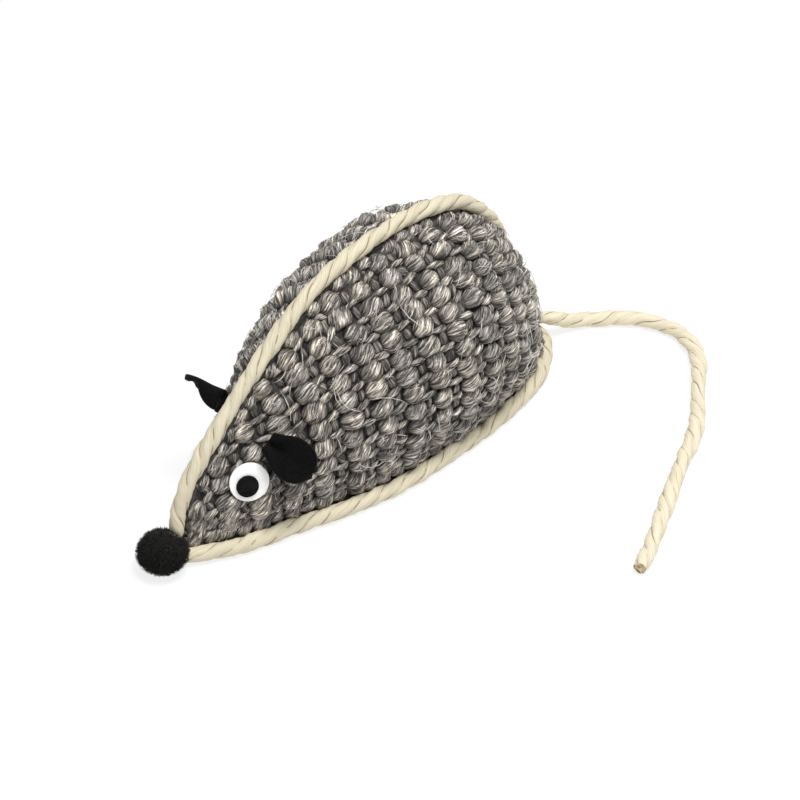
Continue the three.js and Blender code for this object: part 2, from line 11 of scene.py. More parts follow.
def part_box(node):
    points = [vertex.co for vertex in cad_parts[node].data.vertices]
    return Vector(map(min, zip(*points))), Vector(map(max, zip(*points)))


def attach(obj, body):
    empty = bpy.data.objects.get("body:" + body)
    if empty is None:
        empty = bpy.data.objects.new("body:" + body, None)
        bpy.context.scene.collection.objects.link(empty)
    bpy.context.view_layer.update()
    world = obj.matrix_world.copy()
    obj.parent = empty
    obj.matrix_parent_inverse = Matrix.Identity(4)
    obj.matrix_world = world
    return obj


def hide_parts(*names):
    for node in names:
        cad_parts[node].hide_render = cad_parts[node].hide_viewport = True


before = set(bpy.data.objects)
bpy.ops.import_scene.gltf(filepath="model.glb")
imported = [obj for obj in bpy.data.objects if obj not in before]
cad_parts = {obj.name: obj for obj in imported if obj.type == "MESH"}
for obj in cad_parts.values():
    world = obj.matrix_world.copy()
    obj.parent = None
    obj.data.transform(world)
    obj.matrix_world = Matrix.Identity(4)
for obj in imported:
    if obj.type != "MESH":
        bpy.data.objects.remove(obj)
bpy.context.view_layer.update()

# Sizes in millimetres, as in the part's own source. Local x starts at the seam under the nose.
MM = 0.001
BODY_LENGTH = 127.3
BACK_HEIGHT = 57.7
BASE_HALF_WIDTH = 21
CLOTH_THICKNESS = 3
CLEARANCE = 0.3
SEAM_HEIGHT = CLOTH_THICKNESS + CLEARANCE
SEAM_INSET = 2.1
FLANK_BULGE = {
    "left": [0.3, 2.5, 6.2, 10.4, 14.6, 16.4, 10.2, 2.9, 0.3],
    "right": [0.3, 2.5, 6.2, 11.8, 16.3, 18.2, 12.6, 3.5, 0.3],
}
ROPE_DIAMETER = 4.3
ROPE_RADIUS = ROPE_DIAMETER / 2
ROPE_SEAT = ROPE_RADIUS + CLEARANCE
BASE_ROPE_HEIGHT = 0.2 + ROPE_RADIUS
TAIL_ROOT_HEIGHT = 0.2 + ROPE_DIAMETER + ROPE_SEAT
TAIL_FLOOR_HEIGHT = 0.1 + ROPE_RADIUS
TAIL_TUCK = 2
TAIL_ASIDE = 5.5
EAR_LENGTH = 13.5
EAR_WIDTH = 11
EAR_CREASE_RADIUS = 1.3
EAR_ALONG_SEAM = {"left": 31.7, "right": 35.6}
EAR_RISE = {"left": 0.695, "right": 0.715}
EYE_DIAMETER = 10
EYE_ALONG_SEAM = 23.3
EYE_RISE = {"left": 0.56, "right": 0.44}

nose_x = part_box("base_panel")[0].x / MM

# Curves and the flank's surface, in millimetres in the part's frame
SPAN_POINTS = 48
NUDGE = 0.004


def smooth_curve(points, repeat_ends=False):
    """Dense points of the smooth curve through the given ones."""
    points = [np.array(p, float) for p in points]
    before = points[0] if repeat_ends else 2 * points[0] - points[1]
    after = points[-1] if repeat_ends else 2 * points[-1] - points[-2]
    guides = [before, *points, after]
    dense = []
    for a, b, c, d in zip(guides, guides[1:], guides[2:], guides[3:]):
        bend = 2 * a - 5 * b + 4 * c - d
        swing = 3 * b - a - 3 * c + d
        for step in range(SPAN_POINTS):
            t = step / SPAN_POINTS
            dense.append((2 * b + (c - a) * t + bend * t**2 + swing * t**3) / 2)
    dense.append(points[-1])
    return np.array(dense)


def lengths_along(curve):
    steps = np.linalg.norm(np.diff(curve, axis=0), axis=1)
    return np.concatenate([[0.0], np.cumsum(steps)])


Line = namedtuple("Line", "points lengths")


def measured(points):
    return Line(points, lengths_along(points))


def along(line, shares):
    """Points at these shares of the line's length."""
    wanted = np.asarray(shares, float) * line.lengths[-1]
    return np.stack([np.interp(wanted, line.lengths, column) for column in line.points.T], axis=-1)


def unit(vectors):
    return vectors / np.linalg.norm(vectors, axis=-1, keepdims=True)


L, W, H = BODY_LENGTH, BASE_HALF_WIDTH, BACK_HEIGHT
base_outline = [
    (0, 0.4), (11.8, 7.5), (25.5, 11.9), (39.5, W - 4.3), (54, W - 1), (70.5, W), (L - 38.8, W - 0.2),
    (L - 21.3, W - 2.5), (L - 10.1, W - 6.5), (L - 3.5, W - 10.7), (L - 0.7, 5.3), (L, 0),
]
crest_outline = [
    (0.7, SEAM_HEIGHT), (1.8, 13.1), (6.4, 21.2), (18.1, H - 25.4), (33.9, H - 13), (47.5, H - 4.7),
    (62.9, H - 0.9), (80.5, H), (L - 31.6, H - 2.8), (L - 20.8, H - 8.9), (L - 12, H - 18.9),
    (L - 6, 21.4), (L - 2.3, SEAM_HEIGHT + 0.2),
]
base_edge = measured(smooth_curve([(nose_x + x, -y, 0) for x, y in base_outline]))
crest_line = measured(smooth_curve([(nose_x + x, 0, z) for x, z in crest_outline]))
bulge = {
    side: smooth_curve(list(enumerate(depths)), repeat_ends=True) for side, depths in FLANK_BULGE.items()
}
seam_length = base_edge.lengths[-1]
flank_start = SEAM_INSET / seam_length
flank_end = 1 - flank_start


def ease(value, start, end):
    t = min(max((value - start) / (end - start), 0), 1)
    return t * t * (3 - 2 * t)


def heading(line, station):
    return unit(along(line, station + NUDGE) - along(line, station - NUDGE))


def outward_of(way):
    """Level directions square to the given ones, pointing out of the left flank."""
    return np.stack([way[..., 1], -way[..., 0], np.zeros(way.shape[:-1])], axis=-1)


def flank_points(side, station, rise):
    """Points of a flank, laid out on the left, at shares of its seam from the nose and of its rise."""
    station = np.asarray(station, float)
    foot = along(base_edge, station)
    foot[..., 2] = SEAM_HEIGHT
    crest = along(crest_line, station)
    crest[..., 1] = -CLEARANCE / 2
    chord = crest - foot
    half = np.linalg.norm(chord, axis=-1, keepdims=True) / 2
    up = chord / (2 * half)
    outward = outward_of(heading(base_edge, station))
    outward = unit(outward - np.sum(outward * up, axis=-1, keepdims=True) * up)
    steps, depths = bulge[side].T
    depth = np.interp(station * steps[-1], steps, depths)[..., None]
    radius = (half**2 + depth**2) / (2 * depth)
    lean = np.arcsin(half / radius)
    angle = (2 * np.asarray(rise, float)[..., None] - 1) * lean
    return foot + up * (half + radius * np.sin(angle)) + outward * radius * (np.cos(angle) - np.cos(lean))


Spot = namedtuple("Spot", "point across up out")


def flank_spots(places, side):
    """Points of a flank with right-handed axes: along the row, up the flank, out of it."""
    station, rise = np.array(places, float).T
    points = flank_points(side, station, rise)
    row = flank_points(side, station + NUDGE, rise) - flank_points(side, station - NUDGE, rise)
    up = unit(flank_points(side, station, rise + NUDGE) - flank_points(side, station, rise - NUDGE))
    out = unit(np.cross(row, up))
    if side == "right":
        flip = np.array([1, -1, 1])
        points, up, out = points * flip, up * flip, out * flip
    return [Spot(*map(Vector, axes)) for axes in zip(points, np.cross(up, out), up, out)]


def flank_spot(station, rise, side):
    return flank_spots([(station, rise)], side)[0]


def ear_spot(side):
    return flank_spot(EAR_ALONG_SEAM[side] / seam_length, EAR_RISE[side], side)


def eye_spot(side):
    return flank_spot(EYE_ALONG_SEAM / seam_length, EYE_RISE[side], side)


def seated(spot, lift=0.0, turn=0.0):
    """Matrix that sets a shape down on a spot, lifted along its normal and turned about it."""
    matrix = Matrix((spot.across, spot.up, spot.out)).transposed().to_4x4()
    matrix.translation = spot.point + spot.out * lift
    return matrix @ Matrix.Rotation(turn, 4, "Z")


# Shader nodes: small helpers, then the effects that several finishes share
VALUE, COLOUR, VECTOR = "NodeSocketFloat", "NodeSocketColor", "NodeSocketVector"
MIX_FACTOR, MIX_A, MIX_B, MIX_RESULT = 0, 6, 7, 2


def new_group(name, inputs, outputs):
    """A node group with these sockets, each a name and its kind, and the nodes at its two ends."""
    group = bpy.data.node_groups.new(name, "ShaderNodeTree")
    for in_out, sockets in (("INPUT", inputs), ("OUTPUT", outputs)):
        for socket_name, kind in sockets.items():
            group.interface.new_socket(socket_name, in_out=in_out, socket_type=kind)
    return group, group.nodes.new("NodeGroupInput").outputs, group.nodes.new("NodeGroupOutput")


def node(tree, kind, links=(), **settings):
    """A node with its settings and inputs; a socket is linked, and any other value is set as it is."""
    made = tree.nodes.new(kind)
    for key, value in settings.items():
        setattr(made, key, value)
    for key, value in dict(links).items():
        if isinstance(value, bpy.types.NodeSocket):
            tree.links.new(value, made.inputs[key])
        else:
            made.inputs[key].default_value = value
    return made


def grouped(tree, group, *values):
    """The outputs of a node group, placed with its own values in the order of its inputs."""
    return node(tree, "ShaderNodeGroup", enumerate(values), node_tree=group).outputs


def feed(tree, target, **sockets):
    """Link sockets to a node's inputs, which are named here with underscores for spaces."""
    for key, socket in sockets.items():
        tree.links.new(socket, target.inputs[key.replace("_", " ")])


def math_node(tree, operation, a, b):
    return node(tree, "ShaderNodeMath", {0: a, 1: b}, operation=operation).outputs[0]


def mixed(tree, factor, a, b, blend="MIX"):
    links = {MIX_FACTOR: factor, MIX_A: a, MIX_B: b}
    return node(tree, "ShaderNodeMix", links, data_type="RGBA", blend_type=blend).outputs[MIX_RESULT]


def mapped(tree, value, source, target=(0, 1), **settings):
    """A value carried from one range to another, and held inside it."""
    links = dict(enumerate((value, *source, *target)))
    return node(tree, "ShaderNodeMapRange", links, **settings).outputs[0]


def ramp(tree, factor, stops):
    made = node(tree, "ShaderNodeValToRGB", {"Fac": factor})
    elements = made.color_ramp.elements
    while len(elements) < len(stops):
        elements.new(0.5)
    for element, (place, colour) in zip(elements, stops):
        element.position = place
        element.color = (*colour, 1)
    return made.outputs["Color"]


def object_noise(tree, scale, detail, **more):
    """Noise that stays with the piece, its scale in waves per metre."""
    place = node(tree, "ShaderNodeTexCoord").outputs["Object"]
    links = {"Vector": place, "Scale": scale, "Detail": detail, **more}
    return node(tree, "ShaderNodeTexNoise", links).outputs["Fac"]


def fibre_group():
    """Streaks that run along a surface's own fibre direction: x along the fibres, y across them."""
    tree, given, result = new_group(
        "fibre_streaks",
        {"Vector": VECTOR, "Along": VALUE, "Across": VALUE},
        {"Streak": VALUE, "Strand": VALUE},
    )
    x, y, z = node(tree, "ShaderNodeSeparateXYZ", {0: given["Vector"]}).outputs
    lengthwise = math_node(tree, "MULTIPLY", x, given["Along"])
    crosswise = math_node(tree, "MULTIPLY", y, given["Across"])
    place = node(tree, "ShaderNodeCombineXYZ", {0: lengthwise, 1: crosswise, 2: z}).outputs[0]
    fine = {"Vector": place, "Scale": 1.0, "Detail": 3.0, "Roughness": 0.56, "Distortion": 0.3}
    coarse = {"Vector": place, "Scale": 0.38, "Detail": 1.0}
    feed(tree, result, Streak=node(tree, "ShaderNodeTexNoise", fine).outputs["Fac"],
         Strand=node(tree, "ShaderNodeTexNoise", coarse).outputs["Fac"])
    return tree


fibre_streaks = fibre_group()


def streaks_of(tree, attribute, along_scale, across_scale):
    """A piece's fibre attribute and its streaks, scaled along and across the fibres."""
    lay = node(tree, "ShaderNodeAttribute", attribute_name=attribute).outputs["Vector"]
    return lay, grouped(tree, fibre_streaks, lay, along_scale, across_scale)


def sisal_group():
    """Streaked grey fibre, each yarn with its own tone, with painted shade down its sides and lighter on
    its crown.
    """
    tree, given, result = new_group("sisal_fibre", {"Shade": VALUE}, {"Color": COLOUR, "Streak": VALUE})
    lay, streaks = streaks_of(tree, "lay", 0.32, 2.4)
    colour = ramp(tree, streaks["Streak"], [
        (0.38, (0.018, 0.016, 0.014)), (0.46, (0.098, 0.09, 0.08)),
        (0.54, (0.25, 0.232, 0.21)), (0.67, (0.6, 0.568, 0.518)),
    ])
    yarn_number = node(tree, "ShaderNodeSeparateXYZ", {0: lay}).outputs["Z"]
    own = node(tree, "ShaderNodeTexWhiteNoise", {"W": yarn_number}, noise_dimensions="1D")
    tint = ramp(tree, own.outputs["Value"], [
        (0.0, (0.74, 0.73, 0.74)), (0.5, (0.95, 0.92, 0.89)), (1.0, (1.12, 1.07, 0.99)),
    ])
    crown = node(tree, "ShaderNodeAttribute", attribute_name="crown").outputs["Fac"]
    # Painted shade: the colour darkens from each yarn's crown down its sides, as if the cloth shaded them
    unshaded_paper_and_crown_shade = mapped(tree, crown, (0.22, 0.92), (0.03, 1.58))
    clump = mapped(tree, streaks["Strand"], (0.36, 0.53), (0.32, 1.24))
    level = math_node(tree, "MULTIPLY", math_node(tree, "MULTIPLY", unshaded_paper_and_crown_shade, clump), given["Shade"])
    tinted = mixed(tree, 1.0, colour, tint, "MULTIPLY")
    feed(tree, result, Color=mixed(tree, 1.0, tinted, level, "MULTIPLY"), Streak=streaks["Streak"])
    return tree


def paper_group():
    """Twisted paper, with painted brownish shade here and there in the grooves between its plies."""
    tree, given, result = new_group("twisted_paper", {"Shade": VALUE}, {"Color": COLOUR, "Streak": VALUE})
    lay, streaks = streaks_of(tree, "ply", 0.05, 5.5)
    unshaded_paper_and_crown_shade = ramp(tree, streaks["Streak"], [
        (0.25, (0.55, 0.465, 0.315)), (0.45, (0.71, 0.638, 0.47)), (0.7, (0.80, 0.737, 0.575)),
    ])
    paper = mixed(tree, 1.0, unshaded_paper_and_crown_shade, given["Shade"], "MULTIPLY")
    across = node(tree, "ShaderNodeSeparateXYZ", {0: lay}).outputs["Y"]
    edge = math_node(tree, "ABSOLUTE", across, 0.0)
    # Painted shade: dark brown in the grooves between the plies, broken up by noise
    groove = mapped(tree, edge, (0.74, 1), interpolation_type="SMOOTHSTEP")
    broken = mapped(tree, object_noise(tree, 310, 2), (0.42, 0.57), (0.1, 1))
    dark = math_node(tree, "MULTIPLY", groove, broken)
    feed(tree, result, Color=mixed(tree, dark, paper, (0.19, 0.13, 0.06, 1)), Streak=streaks["Streak"])
    return tree


def hair_group():
    """Loose fibres, each dark and pale along its length."""
    tree, given, result = new_group(
        "patchy_hair", {"Dark": COLOUR, "Middle": COLOUR, "Pale": COLOUR}, {"Color": COLOUR})
    patches = object_noise(tree, 420, 1)
    lower = mixed(tree, mapped(tree, patches, (0.36, 0.48)), given["Dark"], given["Middle"])
    feed(tree, result, Color=mixed(tree, mapped(tree, patches, (0.48, 0.62)), lower, given["Pale"]))
    return tree


def matted_group():
    """Matted fibre, such as felt or pile: fine noise with short crossing fibres."""
    tree, given, result = new_group(
        "matted_fibre", {"Dark": COLOUR, "Pale": COLOUR, "Grain": VALUE}, {"Color": COLOUR, "Mat": VALUE})
    mat = object_noise(tree, given["Grain"], 6, Roughness=0.7, Distortion=1.2)
    feed(tree, result, Mat=mat,
         Color=mixed(tree, mapped(tree, mat, (0.35, 0.75)), given["Dark"], given["Pale"]))
    return tree


def speckled_group():
    """Plain noise between two colours, from a low to a high value of the noise."""
    tree, given, result = new_group(
        "speckled", {"Dark": COLOUR, "Pale": COLOUR, "Grain": VALUE, "Low": VALUE, "High": VALUE},
        {"Color": COLOUR, "Specks": VALUE})
    specks = object_noise(tree, given["Grain"], 3)
    share = mapped(tree, specks, (given["Low"], given["High"]))
    feed(tree, result, Color=mixed(tree, share, given["Dark"], given["Pale"]), Specks=specks)
    return tree


sisal_fibre = sisal_group()
twisted_paper = paper_group()
patchy_hair = hair_group()
matted_fibre = matted_group()
speckled = speckled_group()


# Finishes
def finish(name, **fixed):
    """A material with its Principled shader; what is the same all over is set on the shader itself."""
    material = bpy.data.materials.new(name)
    material.use_nodes = True
    shader = material.node_tree.nodes["Principled BSDF"]
    for key, value in fixed.items():
        shader.inputs[key.replace("_", " ")].default_value = value
    return material, material.node_tree, shader


def bumped(tree, shader, height, strength, depth):
    links = {"Height": height, "Strength": strength, "Distance": depth * MM}
    feed(tree, shader, Normal=node(tree, "ShaderNodeBump", links).outputs["Normal"])


def group_finish(name, group, *values, rough=None, bump=None, **fixed):
    """A finish with a node group's colour; the group's second output gives its roughness and bumps."""
    material, tree, shader = finish(name, **fixed)
    made = grouped(tree, group, *((*value, 1) if isinstance(value, tuple) else value for value in values))
    feed(tree, shader, Base_Color=made["Color"])
    if rough:
        feed(tree, shader, Roughness=mapped(tree, made[1], (0, 1), rough))
    if bump:
        bumped(tree, shader, made[1], *bump)
    return material


def clear_finish():
    """Thin clear plastic: it hides little seen straight on and more at a glancing angle."""
    material, tree, shader = finish("eye_clear", Base_Color=(0.5, 0.5, 0.51, 1), Roughness=0.08)
    facing = node(tree, "ShaderNodeLayerWeight", {"Blend": 0.3}).outputs["Facing"]
    feed(tree, shader, Alpha=mapped(tree, facing, (0.3, 1), (0.004, 0.08)))
    return material


def muslin_finish():
    material, tree, shader = finish("muslin", Roughness=0.9)
    place = node(tree, "ShaderNodeTexCoord").outputs["Object"]
    thread = {"Vector": place, "Scale": 420.0, "Distortion": 0.4}
    waves = [node(tree, "ShaderNodeTexWave", thread, bands_direction=axis) for axis in "XY"]
    threads = math_node(tree, "MAXIMUM", *(wave.outputs["Fac"] for wave in waves))
    colour = ramp(tree, threads, [(0.2, (0.42, 0.36, 0.22)), (0.8, (0.72, 0.65, 0.46))])
    feed(tree, shader, Base_Color=colour)
    bumped(tree, shader, threads, 0.5, 0.15)
    return material


# Values follow the order of a group's inputs. A shade under 1 is painted shade on yarn that lies deep in
# the cloth, and on the seam ropes a paper darker than the tail's.
SISAL_LOOK = {"rough": (0.7, 0.4), "bump": (0.9, 0.45), "Specular_IOR_Level": 0.5}
PAPER_LOOK = {"rough": (0.72, 0.5), "bump": (0.5, 0.3), "Specular_IOR_Level": 0.3}
FUZZY_LOOK = {"bump": (0.7, 0.3), "Roughness": 0.95, "Specular_IOR_Level": 0.08,
              "Sheen_Weight": 0.04, "Sheen_Roughness": 0.4}
SPECK_BUMP = (0.8, 0.4)
PLASTIC_ROUGH = (0.22, 0.34)
sisal = group_finish("sisal_yarn", sisal_fibre, 1.0, **SISAL_LOOK)
# Painted shade: the same yarn at 0.4 for the warp bits deep between the floats
painted_shade_sisal = group_finish("sisal_yarn_painted_shade", sisal_fibre, 0.4, **SISAL_LOOK)
tail_paper = group_finish("tail_rope_paper", twisted_paper, 1.0, **PAPER_LOOK)
seam_paper = group_finish("seam_rope_paper", twisted_paper, 0.85, **PAPER_LOOK)
# Painted shade: the sheet behind the yarns is near-black, so the gaps between them look shadowed
backing = group_finish(
    "sisal_backing_painted_shade", speckled, (0.010, 0.009, 0.008), (0.08, 0.072, 0.066), 900, 0.3, 0.75,
    bump=SPECK_BUMP, Roughness=0.95)
rope_cut = group_finish(
    "rope_cut_end", speckled, (0.20, 0.13, 0.06), (0.68, 0.58, 0.38), 1300, 0.35, 0.6,
    bump=SPECK_BUMP, Roughness=0.9)
fine_fibre = group_finish(
    "fine_fibre", patchy_hair, (0.06, 0.054, 0.047), (0.27, 0.25, 0.225), (0.74, 0.70, 0.64), Roughness=0.5)
stray_hair = group_finish(
    "stray_fibre", patchy_hair, (0.30, 0.275, 0.24), (0.50, 0.47, 0.42), (0.80, 0.76, 0.69), Roughness=0.5)
felt = group_finish(
    "black_felt", matted_fibre, (0.001, 0.001, 0.001), (0.007, 0.007, 0.007), 1500, **FUZZY_LOOK)
pile = group_finish(
    "black_pile", matted_fibre, (0.003, 0.003, 0.0028), (0.05, 0.049, 0.045), 1200, **FUZZY_LOOK)
wadding = group_finish(
    "white_wadding", matted_fibre, (0.55, 0.53, 0.48), (0.88, 0.86, 0.81), 500, **FUZZY_LOOK)
eye_white = group_finish(
    "eye_white", speckled, (0.9506, 0.9506, 0.931), (0.97, 0.97, 0.95), 350, 0.3, 0.6, rough=PLASTIC_ROUGH)
eye_black = group_finish(
    "eye_black", speckled, (0.0021, 0.0021, 0.0024), (0.0035, 0.0035, 0.004), 350, 0.3, 0.6,
    rough=PLASTIC_ROUGH, Specular_IOR_Level=0.04)
eye_clear = clear_finish()
muslin = muslin_finish()


# Pieces are shaped in millimetres and end at the origin, in metres
def linked(name, mesh, *finishes):
    for material in finishes:
        mesh.materials.append(material)
    mesh.shade_smooth()
    piece = bpy.data.objects.new(name, mesh)
    bpy.context.scene.collection.objects.link(piece)
    return piece


def finished(name, shape, *finishes):
    bmesh.ops.scale(shape, vec=(MM, MM, MM), verts=shape.verts)
    mesh = bpy.data.meshes.new(name)
    shape.to_mesh(mesh)
    shape.free()
    return linked(name, mesh, *finishes)


def stands_for(piece, node_name, body):
    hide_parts(node_name)
    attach(piece, body)


# Camera, floor and light: the camera is fitted to the photograph, the lamp is placed in metres
LENS = 101.475
SENSOR_WIDTH = 36
CAMERA_FROM_NOSE = (-265.881, -319.920, 370.864)
AIM_FROM_NOSE = (51.516, -24.79, 32.25)
FLOOR_SIZE = 3000
FLOOR_GLOW = 0.82
LAMP_PLACE = Vector((0, -0.25, 0.98))
LAMP_AIM = Vector((0, 0, 0.02))
LAMP_SIZE = 0.5
LAMP_POWER = 11
SKY_LIGHT = 0.36
SKY_SEEN = 1.0


def from_nose(place):
    x, y, z = place
    return Vector((nose_x + x, y, z)) * MM


def aimed(name, data, place, aim):
    made = bpy.data.objects.new(name, data)
    made.location = place
    made.rotation_euler = (aim - place).to_track_quat("-Z", "Y").to_euler()
    bpy.context.scene.collection.objects.link(made)
    return made


def set_camera():
    camera = bpy.data.cameras.new("camera")
    camera.lens = LENS
    camera.sensor_width = SENSOR_WIDTH
    place, aim = from_nose(CAMERA_FROM_NOSE), from_nose(AIM_FROM_NOSE)
    bpy.context.scene.camera = aimed("camera", camera, place, aim)
    bpy.context.scene.view_settings.view_transform = "Standard"


def floor_finish():
    """A pale floor that the camera sees almost white, and that still takes a faint shadow."""
    material, tree, shader = finish(
        "pale_floor", Base_Color=(0.94, 0.94, 0.94, 1), Roughness=0.9, Specular_IOR_Level=0.1)
    seen = node(tree, "ShaderNodeLightPath").outputs["Is Camera Ray"]
    glow = node(tree, "ShaderNodeEmission", {"Color": (1, 1, 1, 1), "Strength": 1.0})
    share = math_node(tree, "MULTIPLY", seen, FLOOR_GLOW)
    blend = node(tree, "ShaderNodeMixShader", {0: share, 1: shader.outputs[0], 2: glow.outputs[0]})
    feed(tree, tree.nodes["Material Output"], Surface=blend.outputs[0])
    return material


def set_floor():
    shape = bmesh.new()
    bmesh.ops.create_grid(shape, x_segments=1, y_segments=1, size=FLOOR_SIZE)
    finished("floor", shape, floor_finish())


def set_light():
    lamp = bpy.data.lights.new("key", "AREA")
    lamp.shape = "DISK"
    lamp.size = LAMP_SIZE
    lamp.energy = LAMP_POWER
    aimed("key", lamp, LAMP_PLACE, LAMP_AIM)
    world = bpy.data.worlds.new("studio")
    world.use_nodes = True
    bpy.context.scene.world = world
    tree = world.node_tree
    sky = tree.nodes["Background"]
    sky.inputs["Color"].default_value = (1, 1, 1, 1)
    path = node(tree, "ShaderNodeLightPath").outputs
    mirrored = math_node(tree, "MAXIMUM", path["Is Glossy Ray"], path["Is Transmission Ray"])
    seen = math_node(tree, "MAXIMUM", path["Is Camera Ray"], mirrored)
    feed(tree, sky, Strength=mapped(tree, seen, (0, 1), (SKY_LIGHT, SKY_SEEN)))


set_camera()
set_floor()
set_light()

# Ropes: three paper plies laid left-handed, flattened against each other
LAY_LENGTH = 20.5
PLY_COUNT = 3
PLY_STEPS = 8
PLY_SHARE = 0.73
PLY_STREAK_SHIFT = 40
RING_SPACING = 0.9
END_TAPER = 4
END_THICKNESS = 0.74
END_RIM = 0.35
END_HOLLOW = 0.12
FLOOR_GAP = 0.05
ANY_SIDE = Vector((0.31, 0.52, 0.79))

# Unevenness along a rope: its amount, radians per millimetre, and share of the rope's own phase
Wave = namedtuple("Wave", "amount rate phase")
TURN_WAVES = (Wave(0.22, 0.33, 1), Wave(0.15, 0.83, 2))
THICKNESS_WAVE = Wave(0.045, 0.21, 1.3)
THINNING = 0.015
SWELL_WAVE = Wave(0.05, 0.42, 1)
SWELL_PLY_PHASE = 2.1
CREASE_WAVE = Wave(0.07, 1.1, 1)
CREASE_PLY_PHASE = 2.4
FOLDS_ACROSS = 2.6
FOLDS_ALONG = 0.7


def sway(wave, distance, phase):
    return wave.amount * sin(wave.rate * distance + wave.phase * phase)


def ply_profile():
    """Angle, radius share, place across its ply from -1 to 1, and ply of each point of the section."""
    offset = 1 - PLY_SHARE
    section = []
    for ply in range(PLY_COUNT):
        for step in range(PLY_STEPS):
            across = 2 * step / PLY_STEPS - 1
            angle = across * pi / PLY_COUNT
            reach = offset * cos(angle) + sqrt(PLY_SHARE**2 - (offset * sin(angle)) ** 2)
            section.append((2 * pi * ply / PLY_COUNT + angle, reach, across, ply))
    return section


def of_kind(items, kind):
    return [item for item in items if isinstance(item, kind)]


def next_ring(shape, ring, edges):
    """Extrude a ring of a tube; its vertices keep their order."""
    grown = bmesh.ops.extrude_edge_only(shape, edges=edges)["geom"]
    before = set(ring)
    follower = {}
    for vert in of_kind(grown, bmesh.types.BMVert):
        for edge in vert.link_edges:
            if edge.other_vert(vert) in before:
                follower[edge.other_vert(vert)] = vert
    return [follower[vert] for vert in ring], of_kind(grown, bmesh.types.BMEdge)


def laid_rope(name, route, paper, dice):
    """A laid rope along a route of dense points, drawn in a little at its two cut ends."""
    length = lengths_along(route)[-1]
    count = max(2, round(length / RING_SPACING))
    line = along(measured(route), np.linspace(0, 1, count + 1))
    ways = unit(np.gradient(line, axis=0))
    shape = bmesh.new()
    lay = shape.verts.layers.float_vector.new("ply")
    section = ply_profile()
    phase = dice.uniform(0, 6)
    side = ANY_SIDE.cross(Vector(ways[0])).normalized()
    ring = bmesh.ops.create_circle(shape, segments=len(section), radius=1)["verts"]
    edges = list({edge for vert in ring for edge in vert.link_edges})
    first_edges = edges
    for index in range(count + 1):
        if index:
            ring, edges = next_ring(shape, ring, edges)
        way = Vector(ways[index])
        side = (side - way * side.dot(way)).normalized()
        other = way.cross(side)
        distance = length * index / count
        turn = -2 * pi * distance / LAY_LENGTH
        turn += sum(sway(wave, distance, phase) for wave in TURN_WAVES)
        from_end = min(distance, length - distance)
        drawn_in = END_THICKNESS + (1 - END_THICKNESS) * ease(from_end, 0, END_TAPER)
        thick = drawn_in + sway(THICKNESS_WAVE, distance, phase) - THINNING
        for vert, (angle, reach, across, ply) in zip(ring, section):
            spoke = side * cos(angle + turn) + other * sin(angle + turn)
            fold = cos(FOLDS_ACROSS * across + FOLDS_ALONG * distance)
            crease = sway(CREASE_WAVE, distance, CREASE_PLY_PHASE * ply + phase) * fold
            swell = thick + sway(SWELL_WAVE, distance, SWELL_PLY_PHASE * ply + phase) + crease
            vert.co = Vector(line[index]) + spoke * reach * swell * ROPE_RADIUS
            vert.co.z = max(vert.co.z, FLOOR_GAP)
            vert[lay] = (distance + PLY_STREAK_SHIFT * ply, across, ply)
    for cut in (first_edges, edges):
        cap = bmesh.ops.contextual_create(shape, geom=cut)["faces"]
        rim = bmesh.ops.inset_region(shape, faces=cap, thickness=END_RIM, depth=-END_HOLLOW)
        for face in [*cap, *rim["faces"]]:
            face.material_index = 1
    bmesh.ops.recalc_face_normals(shape, faces=shape.faces)
    return finished(name, shape, paper, rope_cut)


# Routes: both seam ropes start inside the pompom, and are drawn in at the rump
ROUTE_POINTS = 260
LEAD_POINT = 12
SPINE_FIRST, SPINE_LAST = 0.03, 0.965
SPINE_START = Vector((3.2, 0, 2.6))
RUMP_SINK = 1.9
SINK_FROM, SINK_OVER = 0.68, 0.12
BASE_FIRST = 0.035
BASE_START = Vector((2.4, -1.4, 0))
BASE_START_RISE = 0.8
RUMP_TUCK = 1.3
TUCK_FROM, TUCK_OVER = 0.82, 0.08

pompom_low, pompom_high = (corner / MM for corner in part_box("nose_pompom"))
pompom_middle = (pompom_low + pompom_high) / 2


def with_lead(start, route):
    """A route with a smooth way onto it from its start."""
    lead = smooth_curve([start, route[0], route[LEAD_POINT]])[:SPAN_POINTS]
    return np.concatenate([[start], lead, route])


def spine_route():
    """Over the crest, sunk a little between the flanks at the rump."""
    stations = np.linspace(SPINE_FIRST, SPINE_LAST, ROUTE_POINTS)
    way = heading(crest_line, stations)
    lifted = np.stack([-way[:, 2], np.zeros(len(way)), way[:, 0]], axis=-1)
    seat = ROPE_SEAT - RUMP_SINK * np.clip((stations - SINK_FROM) / SINK_OVER, 0, 1)
    route = along(crest_line, stations) + lifted * seat[:, None]
    return with_lead(np.array(pompom_middle + SPINE_START), route)


def base_route():
    """Along the left seam, tucked in round the rump, and back along the right seam."""
    stations = np.linspace(BASE_FIRST, 1, ROUTE_POINTS)
    seat = ROPE_SEAT - RUMP_TUCK * np.clip((stations - TUCK_FROM) / TUCK_OVER, 0, 1)
    left = along(base_edge, stations) + outward_of(heading(base_edge, stations)) * seat[:, None]
    left[:, 2] = BASE_ROPE_HEIGHT
    start = np.array(pompom_middle + BASE_START)
    start[2] = BASE_ROPE_HEIGHT + BASE_START_RISE
    left = with_lead(start, left)
    return np.concatenate([left, left[-2::-1] * np.array([1, -1, 1])])


